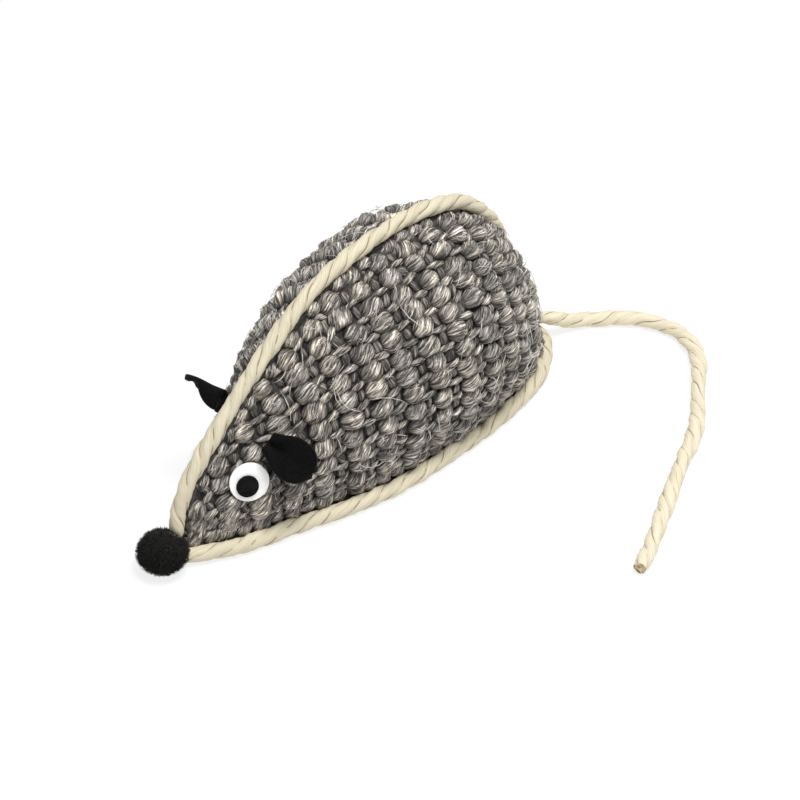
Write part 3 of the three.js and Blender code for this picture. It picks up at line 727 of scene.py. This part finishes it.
tail_root = (nose_x + BODY_LENGTH + ROPE_SEAT - TAIL_TUCK, -TAIL_ASIDE)
tail_steps = [
    (0, 0, TAIL_ROOT_HEIGHT), (2.2, -1.9, TAIL_ROOT_HEIGHT), (5, -3.1, TAIL_ROOT_HEIGHT - 1.3),
    (8.1, -3.9, TAIL_FLOOR_HEIGHT + 1.7), (11.3, -4.9, TAIL_FLOOR_HEIGHT + 0.4),
    *[(x, y, TAIL_FLOOR_HEIGHT) for x, y in (
        (14.4, -6.8), (17.7, -9.7), (21.4, -13.2), (24.2, -17.3), (26.2, -23.4), (26.3, -29.8),
        (22.9, -37.2), (18, -42.2), (11.6, -46.8), (5.6, -51.1), (-1, -55.9), (-8.2, -59.9),
        (-15.4, -62.7), (-23.2, -66.1), (-31.4, -69.9), (-39.8, -73.7), (-48.4, -77.6), (-57.2, -80.9),
    )],
]
tail_route = smooth_curve([(tail_root[0] + x, tail_root[1] + y, z) for x, y, z in tail_steps])

tail = laid_rope("tail_rope_laid", tail_route, tail_paper, random.Random(3))
stands_for(tail, "tail_rope", "tail")
spine = laid_rope("spine_rope_laid", spine_route(), seam_paper, random.Random(4))
stands_for(spine, "spine_rope", "body")
base = laid_rope("base_rope_laid", base_route(), seam_paper, random.Random(5))
stands_for(base, "base_rope", "body")

# Woven cloth: columns of plump yarn floats, with thin strands and short warp bits between them
COLUMN_PITCH = 8.7
ROW_PITCH = 5.1
FIRST_ROW = 0.34
ROW_MARGIN = 0.15
ROW_SLOPE = 0.1
SLOPE_FROM = 15.0
ANCHOR_STATION = 0.45
STATION_STEPS = 420
RISE_STEPS = 140
EDGE_PITCH = 4.6
EDGE_INSET = 1.1
EDGE_MOST_INSET = 0.45
EDGE_LEAST_HEIGHT = 2.5
EDGE_TO_FLOAT = 3.4
BACKING_DEPTH = 1.9
BACKING_THICKNESS = 1.0
BACKING_STEPS = (56, 24)
BACKING_SLOPE = 0.09
HEM = 1.2
HEM_SHARE = 0.05

# Where something is sewn or glued on, the yarns are pressed down
SEWN_PRESS = 0.6
EAR_PRESS = {"left": 0.6, "right": 1.8}
EAR_DENT = {"left": 5.5, "right": 9.5}
EYE_DENT = EYE_DIAMETER / 2 + 1.5
TAIL_DENT = 2 * ROPE_DIAMETER

# A yarn's form: half length, half width and half height, then how it lies and how much each one differs
Kind = namedtuple(
    "Kind", "size spread lift uneven turn twist dive shift twist_spread", defaults=(None, None))
YARN_TWIST = radians(29)
THIN_TWIST = radians(18)
FLOAT = Kind(
    size=(3.25, 2.65, 2.35), spread=0.1, lift=-1.4, uneven=(-0.2, 0.2), turn=lambda dice: dice.gauss(3, 8),
    twist=YARN_TWIST, dive=0.8, shift=(0.4, 0.25), twist_spread=0.25)
STRAND = Kind(
    size=(2.9, 0.95, 0.9), spread=0.2, lift=-1.4, uneven=(-0.25, 0.2), turn=lambda dice: dice.gauss(9, 11),
    twist=THIN_TWIST, dive=0.8)
WARP = Kind(
    size=(1.9, 1.25, 0.9), spread=0.22, lift=-1.8, uneven=(-0.2, 0.25),
    turn=lambda dice: dice.gauss(75, 18), twist=THIN_TWIST, dive=0.4)
EDGE = Kind(
    size=(2.6, 1.9, 1.5), spread=0.12, lift=-0.8, uneven=(-0.2, 0.2),
    turn=lambda dice: dice.uniform(0, 40), twist=YARN_TWIST, dive=0.6)
FOOT_EDGE = EDGE._replace(turn=lambda dice: dice.uniform(-10, 20))
BUNDLE_WIDTH = 1.1
BUNDLE_RELIEF = 0.26
BUNDLE_MIDDLE = 0.6
LUMP_RELIEF = 0.24
LUMPS_ALONG, LUMPS_AROUND, LUMP_PHASE = 1.5, 1.3, 1.9
END_FULLNESS = 0.4
CROWN_CROWDING = 0.45
# Crown value at a yarn's sides, which sets how dark the painted side shade is
SIDE_CROWN = 0.3


def woven_places(side, shift_columns, shift_rows, row_count=None):
    """Stations and rises of a square grid laid on the flank: rows follow the base seam."""
    stations = np.linspace(flank_start, flank_end, STATION_STEPS)
    rises = np.linspace(0, 1, RISE_STEPS)
    across, up = np.meshgrid(stations, rises, indexing="ij")
    surface = flank_points(side, across, up)
    climbs = np.linalg.norm(np.diff(surface, axis=1), axis=2).cumsum(axis=1)
    climbs = np.concatenate([np.zeros((len(stations), 1)), climbs], axis=1)
    places = []
    for row in range(int(climbs.max() / ROW_PITCH) + 1)[:row_count]:
        height = (row + FIRST_ROW + shift_rows) * ROW_PITCH
        lift = ROW_SLOPE * ease(height, 0, SLOPE_FROM) * seam_length * (stations - ANCHOR_STATION)
        rise = np.array([np.interp(height + more, climb, rises) for more, climb in zip(lift, climbs)])
        inside = climbs[:, -1] > height + lift + ROW_MARGIN * ROW_PITCH
        distance = lengths_along(flank_points(side, stations, rise))
        distance -= np.interp(ANCHOR_STATION, stations, distance)
        first = ceil(distance[0] / COLUMN_PITCH - shift_columns)
        last = floor(distance[-1] / COLUMN_PITCH - shift_columns)
        for column in range(first, last + 1):
            station = np.interp((column + shift_columns) * COLUMN_PITCH, distance, stations)
            if np.interp(station, stations, inside) > 0.5:
                places.append((station, np.interp(station, stations, rise)))
    return places


def edge_places(side):
    """Places along the spine seam and down both ends of the flank, where rows run out."""
    stations = np.linspace(flank_start, flank_end, STATION_STEPS)
    crest = flank_points(side, stations, np.ones(len(stations)))
    foot = flank_points(side, stations, np.zeros(len(stations)))
    heights = crest[:, 2] - foot[:, 2]
    distance = lengths_along(crest)
    places = []
    for place in np.arange(0.5 * EDGE_PITCH, distance[-1], EDGE_PITCH):
        tall = max(abs(np.interp(place, distance, heights)), EDGE_LEAST_HEIGHT)
        station = np.interp(place, distance, stations)
        places.append((station, 1 - min(EDGE_INSET / tall, EDGE_MOST_INSET)))
    return places


Yarn = namedtuple("Yarn", "seat size twist dive phase start tone")
Skin = namedtuple("Skin", "point lay crown")


def yarn_point(yarn, share, angle, raised=0.0):
    """A point of a yarn's surface, its place along and across the fibres, and how near the crown."""
    half_length, half_width, half_height = yarn.size
    lengthwise = share * half_length
    around = angle * half_width
    fibre = lengthwise * cos(yarn.twist) + around * sin(yarn.twist)
    cross = around * cos(yarn.twist) - lengthwise * sin(yarn.twist)
    full = max(1 - share * share, 0) ** END_FULLNESS
    bundle = abs(sin(pi * (cross + yarn.phase) / BUNDLE_WIDTH)) - BUNDLE_MIDDLE
    lump = sin(LUMPS_ALONG * lengthwise + yarn.phase)
    lump *= sin(LUMPS_AROUND * around + LUMP_PHASE * yarn.phase)
    relief = raised + (BUNDLE_RELIEF * bundle + LUMP_RELIEF * lump) * half_width / FLOAT.size[1]
    aside = sin(angle) * full * (half_width + relief)
    height = cos(angle) * full * (half_height + relief) - yarn.dive * share * share
    lay = (yarn.start.x + fibre, yarn.start.y + cross, yarn.tone)
    # How near the crown; the sisal finish paints shade down the yarn's sides from this
    crown = (SIDE_CROWN + (1 - SIDE_CROWN) * cos(angle)) * full
    return Skin(yarn.seat @ Vector((lengthwise, aside, height)), lay, crown)


def spun_yarn(seat, size, twist, dive, dice):
    """A yarn with its own lumps, place in the streaks and tone."""
    start = Vector((dice.uniform(0, 90), dice.uniform(0, 90)))
    return Yarn(seat, size, twist, dive, dice.uniform(0, 9), start, dice.uniform(0, 60))


def jitter(size, dice, amount):
    return tuple(value * dice.uniform(1 - amount, 1 + amount) for value in size)


def laid_yarn(kind, spot, dice, pressed=0):
    """One yarn of a kind, set down on the flank with its own small differences."""
    seat = seated(spot, kind.lift - pressed + dice.uniform(*kind.uneven), radians(kind.turn(dice)))
    if kind.shift:
        seat = seat @ Matrix.Translation((dice.gauss(0, kind.shift[0]), dice.gauss(0, kind.shift[1]), 0))
    size = jitter(kind.size, dice, kind.spread)
    twist = kind.twist
    if kind.twist_spread:
        twist += dice.gauss(0, kind.twist_spread)
    return spun_yarn(seat, size, twist, kind.dive, dice)


def yarn_mesh():
    """An empty shape that can carry what the sisal finish reads."""
    shape = bmesh.new()
    shape.verts.layers.float_vector.new("lay")
    shape.verts.layers.float.new("crown")
    return shape


def yarn_shapes(yarns, segments, rings, finish_index=0):
    """Each yarn as a closed bean along its seat's x axis, its faces finer on the crown than below."""
    ball = yarn_mesh()
    bmesh.ops.create_uvsphere(ball, u_segments=segments, v_segments=rings, radius=1)
    for face in ball.faces:
        face.material_index = finish_index
    for yarn in yarns:
        shape = ball.copy()
        lay = shape.verts.layers.float_vector["lay"]
        crown = shape.verts.layers.float["crown"]
        for vert in shape.verts:
            y, z, x = vert.co
            angle = atan2(y, z)
            angle -= CROWN_CROWDING * sin(angle)
            vert.co, vert[lay], vert[crown] = yarn_point(yarn, min(max(x, -1), 1), angle)
        yield shape
    ball.free()


def gathered(shape, small_shapes):
    """Add small shapes, each made by itself because operators slow down as a mesh grows."""
    for small in small_shapes:
        mesh = bpy.data.meshes.new("small")
        small.to_mesh(mesh)
        small.free()
        shape.from_mesh(mesh)
        bpy.data.meshes.remove(mesh)


def add_backing(shape, side):
    """The cloth behind the yarns: a sheet under the flank's surface that comes up to it at the seams,
    near-black as painted shade in the gaps between the yarns.
    """
    made = bmesh.ops.create_grid(shape, x_segments=BACKING_STEPS[0], y_segments=BACKING_STEPS[1], size=0.5)
    outside = flank_spot(0.5, 0.5, side)
    places = [(flank_start + (vert.co.x + 0.5) * (flank_end - flank_start),
               min(max(vert.co.y + 0.5, NUDGE), 1 - NUDGE)) for vert in made["verts"]]
    for vert, spot in zip(made["verts"], flank_spots(places, side)):
        rise = vert.co.y + 0.5
        edge = min(rise, 1 - rise, vert.co.x + 0.5, 0.5 - vert.co.x)
        beyond = HEM * (ease(rise, 1 - HEM_SHARE, 1) - ease(rise, HEM_SHARE, 0))
        vert.co = spot.point + spot.up * beyond - spot.out * (BACKING_DEPTH * ease(edge, 0, BACKING_SLOPE))
    faces = list(shape.faces)
    bmesh.ops.recalc_face_normals(shape, faces=faces)
    middle = min(faces, key=lambda face: (face.calc_center_median() - outside.point).length)
    if middle.normal.dot(outside.out) < 0:
        bmesh.ops.reverse_faces(shape, faces=faces)
    bmesh.ops.solidify(shape, geom=faces, thickness=BACKING_THICKNESS)
    for face in shape.faces:
        face.material_index = 1


# Fibres: short ones that lie on the yarns, and longer strays across them
FIBRE_POINTS = 5
FIBRE_RADIUS = 0.075
FIBRES_PER_YARN = 9
FIBRES_PER_STRAND = 3
FIBRE_HALF = (0.25, 0.65)
FIBRE_HEIGHT = 0.06
FIBRE_LAST = 0.97
STRAY_COUNT = 60
STRAY_RADIUS = 0.11
STRAY_LOWEST = 10
STRAY_LENGTHS = (3, 5, 5, 8, 8, 12)
STRAY_SAG = 1.2
POINT_WIDTH, POINT_TAPER = 1.1, 0.7


def surface_fibre(yarn, dice):
    """A curled fibre that lies on a yarn about along its twist, its ends a little loose."""
    half = dice.uniform(*FIBRE_HALF)
    middle = dice.uniform(-0.5, 0.5)
    angle = dice.uniform(-1.3, 1.3)
    turn = tan(yarn.twist + dice.gauss(0, 0.3)) * yarn.size[0] / yarn.size[1]
    curl = dice.gauss(0, 0.35)
    end_lift = dice.uniform(0, 0.5)
    points = []
    for step in np.linspace(-half, half, FIBRE_POINTS):
        share = min(max(middle + step, -FIBRE_LAST), FIBRE_LAST)
        outer = (step / half) ** 2
        raised = FIBRE_HEIGHT + end_lift * outer * outer
        points.append(yarn_point(yarn, share, angle + turn * step + curl * outer, raised).point)
    return points


def stray_fibre(yarn, dice):
    """A longer fibre that lies across its neighbours, or stands off the cloth."""
    length = dice.choice(STRAY_LENGTHS)
    turn = dice.gauss(0.5, 0.9)
    bend = dice.gauss(0, 0.5)
    stand = max(0.0, dice.gauss(-1.4, 1.3))
    start = Vector((dice.uniform(-4, 4), dice.uniform(-2.5, 2.5), yarn.size[2] + dice.uniform(0, 0.4)))
    points = []
    for share in np.linspace(-0.5, 0.5, FIBRE_POINTS):
        way = turn + bend * share
        flat = Vector((cos(way), sin(way), 0)) * length * share
        lift = Vector((0, 0, (share + 0.5) ** 2 * stand - STRAY_SAG * share * share))
        points.append(yarn.seat @ (start + flat + lift))
    return points


def fibre_piece(name, fibres, radius, material):
    """Many fine closed tubes as one piece."""
    curve = bpy.data.curves.new(name, "CURVE")
    curve.dimensions = "3D"
    curve.bevel_depth = radius * MM
    curve.bevel_resolution = 0
    curve.use_fill_caps = True
    for fibre in fibres:
        spline = curve.splines.new("POLY")
        spline.points.add(len(fibre) - 1)
        for index, (point, place) in enumerate(zip(spline.points, fibre)):
            point.co = (*(place * MM), 1)
            point.radius = POINT_WIDTH - POINT_TAPER * abs(2 * index / (len(fibre) - 1) - 1)
    holder = bpy.data.objects.new(name, curve)
    bpy.context.scene.collection.objects.link(holder)
    bpy.context.view_layer.update()
    mesh = bpy.data.meshes.new_from_object(holder.evaluated_get(bpy.context.evaluated_depsgraph_get()))
    bpy.data.objects.remove(holder)
    mesh.materials.clear()
    piece = linked(name, mesh, material)
    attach(piece, "body")


def woven_flank(side, dice):
    sewn_on = [
        (eye_spot(side).point, EYE_DENT, SEWN_PRESS),
        (ear_spot(side).point, EAR_DENT[side], EAR_PRESS[side]),
        (Vector(tail_route[0]), TAIL_DENT, SEWN_PRESS),
    ]
    floats = []
    for spot in flank_spots(woven_places(side, 0, 0), side):
        presses = [press for place, reach, press in sewn_on if (spot.point - place).length < reach]
        floats.append(laid_yarn(FLOAT, spot, dice, max(presses, default=0)))
    edges = []
    for spot in flank_spots(edge_places(side), side):
        if all((spot.point - yarn.seat.translation).length >= EDGE_TO_FLOAT for yarn in floats):
            edges.append(laid_yarn(EDGE, spot, dice))
    for spot in flank_spots(woven_places(side, 0.5, 0, row_count=1), side):
        edges.append(laid_yarn(FOOT_EDGE, spot, dice))
    strands = [laid_yarn(STRAND, spot, dice) for spot in flank_spots(woven_places(side, 0.5, 0.5), side)]
    warps = [laid_yarn(WARP, spot, dice) for spot in flank_spots(woven_places(side, 0.5, 0), side)]
    shape = yarn_mesh()
    add_backing(shape, side)
    gathered(shape, yarn_shapes(floats, segments=22, rings=10))
    gathered(shape, yarn_shapes(edges, segments=16, rings=8))
    gathered(shape, yarn_shapes(strands, segments=10, rings=7))
    # The warp bits take the painted-shade yarn finish
    gathered(shape, yarn_shapes(warps, segments=8, rings=6, finish_index=2))
    piece = finished(f"{side}_flank_cloth", shape, sisal, backing, painted_shade_sisal)
    stands_for(piece, f"{side}_flank", "body")
    loose = [surface_fibre(yarn, dice) for yarn in floats + edges for _ in range(FIBRES_PER_YARN)]
    loose += [surface_fibre(yarn, dice) for yarn in strands for _ in range(FIBRES_PER_STRAND)]
    fibre_piece(f"{side}_flank_fibres", loose, FIBRE_RADIUS, fine_fibre)
    high = [yarn for yarn in floats if yarn.seat.translation.z > STRAY_LOWEST]
    strays = [stray_fibre(dice.choice(high), dice) for _ in range(STRAY_COUNT)]
    fibre_piece(f"{side}_flank_strays", strays, STRAY_RADIUS, stray_hair)


woven_flank("left", random.Random(11))
woven_flank("right", random.Random(12))

# Sole: the same cloth pressed flat, cut to the base seam
SOLE_OUTLINE_POINTS = 60
SOLE_UNDERSIDE = 0.9
SOLE_PLATE = CLOTH_THICKNESS - 1.1
SOLE_YARN_HEIGHT = 1.2
SOLE_YARNS = ((0.25, (3.5, 2.6, 0.75)), (0.75, (2.7, 1.5, 0.65)))
SOLE_HALF_ROWS = 4
SOLE_MARGIN = 1.5
SOLE_SPREAD = 0.06


def woven_sole(dice):
    left = along(base_edge, np.linspace(0, 1, SOLE_OUTLINE_POINTS))
    shape = yarn_mesh()
    rim = [shape.verts.new((x, y, SOLE_UNDERSIDE)) for x, y, z in left]
    rim += [shape.verts.new((x, -y, SOLE_UNDERSIDE)) for x, y, z in left[-2::-1]]
    plate = shape.faces.new(rim)
    walls = bmesh.ops.extrude_face_region(shape, geom=[plate])
    top = of_kind(walls["geom"], bmesh.types.BMVert)
    bmesh.ops.translate(shape, verts=top, vec=(0, 0, SOLE_PLATE))
    bmesh.ops.recalc_face_normals(shape, faces=shape.faces)
    # The plate takes the same near-black painted-shade backing finish
    for face in shape.faces:
        face.material_index = 1
    yarns = []
    for column in range(int(BODY_LENGTH / COLUMN_PITCH) + 1):
        for row in range(-SOLE_HALF_ROWS, SOLE_HALF_ROWS + 1):
            for shift, size in SOLE_YARNS:
                x = nose_x + (column + shift) * COLUMN_PITCH
                y = row * ROW_PITCH
                if abs(y) > np.interp(x, left[:, 0], -left[:, 1]) - SOLE_MARGIN:
                    continue
                under = Vector((x, y, SOLE_YARN_HEIGHT))
                spot = Spot(under, Vector((1, 0, 0)), Vector((0, -1, 0)), Vector((0, 0, -1)))
                seat = seated(spot, 0, radians(dice.uniform(-4, 10)))
                yarns.append(spun_yarn(seat, jitter(size, dice, SOLE_SPREAD), YARN_TWIST, 0, dice))
    gathered(shape, yarn_shapes(yarns, segments=12, rings=7))
    piece = finished("sole_cloth", shape, sisal, backing)
    stands_for(piece, "base_panel", "body")


woven_sole(random.Random(13))

# Nose: a dense ball of cut pile, pressed a little flat where it rests
POMPOM_WIDTH = 13.4
POMPOM_HEIGHT = 10.8
POMPOM_BACK = 0.3
POMPOM_FLOOR_GAP = 0.1
CORE_DEPTH = 1.2
TUFT_COUNT = 5400
TUFT_BATCH = 100
TUFT_LENGTH = 2.2
TUFT_SIDES = 4
TUFT_ROOT_RADIUS, TUFT_TIP_RADIUS = 0.2, 0.05
TUFT_LEAN = 0.45
TUFT_UNEVEN = (-0.8, 0.3)
GOLDEN_ANGLE = pi * (3 - sqrt(5))


def pompom(dice):
    centre = Vector((pompom_middle.x + POMPOM_BACK, 0, POMPOM_HEIGHT / 2 + POMPOM_FLOOR_GAP))
    squash = Matrix.Translation(centre) @ Matrix.Diagonal((1, 1, POMPOM_HEIGHT / POMPOM_WIDTH, 1))
    radius = POMPOM_WIDTH / 2
    core = bmesh.new()
    bmesh.ops.create_icosphere(core, subdivisions=3, radius=radius - CORE_DEPTH, matrix=squash)
    gathered(core, tuft_batches(radius, squash, dice))
    piece = finished("nose_pompom_pile", core, pile)
    stands_for(piece, "nose_pompom", "body")


def tuft_batches(radius, squash, dice):
    """Cut fibres spread evenly over the ball, each leaning its own way."""
    for first in range(0, TUFT_COUNT, TUFT_BATCH):
        shape = bmesh.new()
        for index in range(first, first + TUFT_BATCH):
            height = 1 - 2 * (index + 0.5) / TUFT_COUNT
            angle = index * GOLDEN_ANGLE + dice.uniform(-0.05, 0.05)
            flat = sqrt(1 - height * height)
            out = Vector((flat * cos(angle), flat * sin(angle), height))
            lean = Vector([dice.gauss(0, TUFT_LEAN) for _ in range(3)])
            middle = radius + dice.uniform(*TUFT_UNEVEN) - TUFT_LENGTH / 2
            turn = (out + lean).to_track_quat("Z", "Y").to_matrix().to_4x4()
            bmesh.ops.create_cone(
                shape, segments=TUFT_SIDES, radius1=TUFT_ROOT_RADIUS, radius2=TUFT_TIP_RADIUS,
                depth=TUFT_LENGTH, cap_ends=True, matrix=squash @ Matrix.Translation(out * middle) @ turn)
        yield shape


pompom(random.Random(14))

# Ears: felt leaves folded together at the root, open towards the tip
EAR_LIFT = {"left": 0.9, "right": 1.1}
EAR_REACH = {"left": Vector((0.28, -0.84, -0.47)), "right": Vector((0.05, 0.972, -0.228))}
EAR_FACE = {"left": Vector((-0.58, -0.54, 0.62)), "right": Vector((-0.781, 0.134, -0.615))}
EAR_FELT_THICKNESS = 1.4
EAR_STEPS = 18
FELT_LEVELS = 2
ROOT_FOLD = {"left": radians(66), "right": radians(103)}
TIP_FOLD = radians(9)
OPEN_FROM = {"left": 0.58, "right": 0.42}
ROOT_WIDTH_SHARE = {"left": 0.76, "right": 1.12}
FULL_WIDTH_FROM = 0.45
TIP_ROUNDNESS = 3
LAST_SHARE = 0.995
WAVE_HEIGHT = 0.25
WAVES_ACROSS, WAVES_ALONG = 3.1, 5.0
WIDTH_SAMPLES = 200


def ear_half_width(share, root_share):
    tip = sqrt(1 - (2 * max(share, 0.5) - 1) ** TIP_ROUNDNESS)
    spread = root_share + (1 - root_share) * ease(share, 0, FULL_WIDTH_FROM)
    return EAR_WIDTH / 2 * tip * spread


def felt_ear(side):
    spot = ear_spot(side)
    root = spot.point + spot.out * EAR_LIFT[side]
    reach = EAR_REACH[side].normalized()
    face = (EAR_FACE[side] - reach * EAR_FACE[side].dot(reach)).normalized()
    across = reach.cross(face)
    shape = bmesh.new()
    made = bmesh.ops.create_grid(shape, x_segments=EAR_STEPS, y_segments=EAR_STEPS, size=1)
    for vert in made["verts"]:
        share = LAST_SHARE * sin(pi / 4 * (vert.co.y + 1))
        aside = vert.co.x * ear_half_width(share, ROOT_WIDTH_SHARE[side])
        fold = ROOT_FOLD[side] + (TIP_FOLD - ROOT_FOLD[side]) * ease(share, 0, OPEN_FROM[side])
        bend = min(max(aside / EAR_CREASE_RADIUS, -fold), fold)
        leg = aside - bend * EAR_CREASE_RADIUS
        sideways = EAR_CREASE_RADIUS * sin(bend) + leg * cos(bend)
        forwards = EAR_CREASE_RADIUS * (1 - cos(bend)) + leg * sin(bend)
        wave = WAVE_HEIGHT * sin(WAVES_ACROSS * vert.co.x + WAVES_ALONG * share) * share
        vert.co = root + reach * (share * EAR_LENGTH) + across * sideways + face * (forwards + wave)
    bmesh.ops.recalc_face_normals(shape, faces=shape.faces)
    piece = finished(f"{side}_ear_felt", shape, felt)
    thick = piece.modifiers.new("felt", "SOLIDIFY")
    thick.thickness = EAR_FELT_THICKNESS * MM
    thick.offset = 0
    smooth = piece.modifiers.new("smooth", "SUBSURF")
    smooth.levels = FELT_LEVELS
    smooth.render_levels = FELT_LEVELS
    shares = np.linspace(0, LAST_SHARE, WIDTH_SAMPLES)
    widths = [2 * ear_half_width(share, ROOT_WIDTH_SHARE[side]) for share in shares]
    stands_for(piece, f"{side}_ear", f"{side}_ear")


felt_ear("left")
felt_ear("right")

# Eyes: a white disc, a loose black pupil and a clear dome
DISC_THICKNESS = 0.6
DISC_EDGE = 0.25
PUPIL_RADIUS = 2.8
PUPIL_HALF_THICKNESS = 0.25
PUPIL_EDGE = 0.15
DOME_HEIGHT = 2.6
DOME_WALL = 0.5
DOME_STEPS = 13
DISC_SIDES, PUPIL_SIDES = 64, 48


def spun(profile, steps, seat):
    shape = bmesh.new()
    verts = [shape.verts.new((radius, 0, height)) for radius, height in profile]
    rims = [shape.edges.new(pair) for pair in zip(verts, verts[1:])]
    bmesh.ops.spin(shape, geom=[*verts, *rims], cent=(0, 0, 0), axis=(0, 0, 1), angle=2 * pi,
                   steps=steps, use_merge=True)
    bmesh.ops.remove_doubles(shape, verts=shape.verts, dist=1e-4)
    bmesh.ops.recalc_face_normals(shape, faces=shape.faces)
    bmesh.ops.transform(shape, matrix=seat, verts=shape.verts)
    return shape


def rounded_disc(radius, low, high, edge):
    corner = [(radius - edge + edge * sin(a), high - edge + edge * cos(a))
              for a in np.linspace(0, pi / 2, 4)]
    return [(0, high), *corner, (radius, low), (0, low)]


def dome_arc(radius, height, bottom):
    angles = np.linspace(0, pi / 2, DOME_STEPS)
    return [(radius * sin(a), bottom + height * cos(a)) for a in angles]


def wobbling_eye(side):
    seat = seated(eye_spot(side), CLEARANCE)
    radius = EYE_DIAMETER / 2
    disc_shape = spun(rounded_disc(radius, 0, DISC_THICKNESS, DISC_EDGE), DISC_SIDES, seat)
    disc = finished(f"{side}_eye_disc", disc_shape, eye_white)
    stands_for(disc, f"{side}_eye_backing", "body")
    low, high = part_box(f"{side}_eye_pupil")
    pupil_seat = seat.copy()
    pupil_seat.translation = (low + high) / (2 * MM)
    pupil_profile = rounded_disc(PUPIL_RADIUS, -PUPIL_HALF_THICKNESS, PUPIL_HALF_THICKNESS, PUPIL_EDGE)
    pupil = finished(f"{side}_eye_pupil_disc", spun(pupil_profile, PUPIL_SIDES, pupil_seat), eye_black)
    stands_for(pupil, f"{side}_eye_pupil", f"{side}_pupil")
    bottom = DISC_THICKNESS + CLEARANCE
    outer = dome_arc(radius, DOME_HEIGHT, bottom)
    inner = dome_arc(radius - DOME_WALL, DOME_HEIGHT - DOME_WALL, bottom)
    dome = finished(f"{side}_eye_dome_clear", spun([*outer, *inner[::-1]], DISC_SIDES, seat), eye_clear)
    stands_for(dome, f"{side}_eye_dome", "body")


wobbling_eye("left")
wobbling_eye("right")

# Inside: two wads of fibre and the catnip bag, from the space that the solids hold
SMOOTHING = 0.4
SMOOTHING_ROUNDS = 2
LUMP_SHARE = 0.6


def uneven_wave(x, y, z):
    """Lumps a few millimetres apart, from about -1.5 to 1.5."""
    return sin(0.9 * x + 0.7 * z) * sin(0.8 * y - 0.5 * x) + 0.5 * sin(1.7 * z + 1.1 * y)


def soft_copy(node_name, name, material, lump):
    shape = bmesh.new()
    shape.from_mesh(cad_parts[node_name].data)
    bmesh.ops.scale(shape, vec=(1 / MM,) * 3, verts=shape.verts)
    bmesh.ops.remove_doubles(shape, verts=shape.verts, dist=1e-3)
    bmesh.ops.subdivide_edges(shape, edges=shape.edges, cuts=1, use_grid_fill=True)
    for _ in range(SMOOTHING_ROUNDS):
        bmesh.ops.smooth_vert(shape, verts=shape.verts, factor=SMOOTHING,
                              use_axis_x=True, use_axis_y=True, use_axis_z=True)
    shape.normal_update()
    moves = [vert.normal * (-lump * (1 + LUMP_SHARE * uneven_wave(*vert.co))) for vert in shape.verts]
    for vert, move in zip(shape.verts, moves):
        vert.co += move
    piece = finished(name, shape, material)
    stands_for(piece, node_name, "body")


soft_copy("front_stuffing", "front_wad", wadding, 0.35)
soft_copy("rear_stuffing", "rear_wad", wadding, 0.35)
soft_copy("catnip_sachet", "catnip_bag", muslin, 0.12)
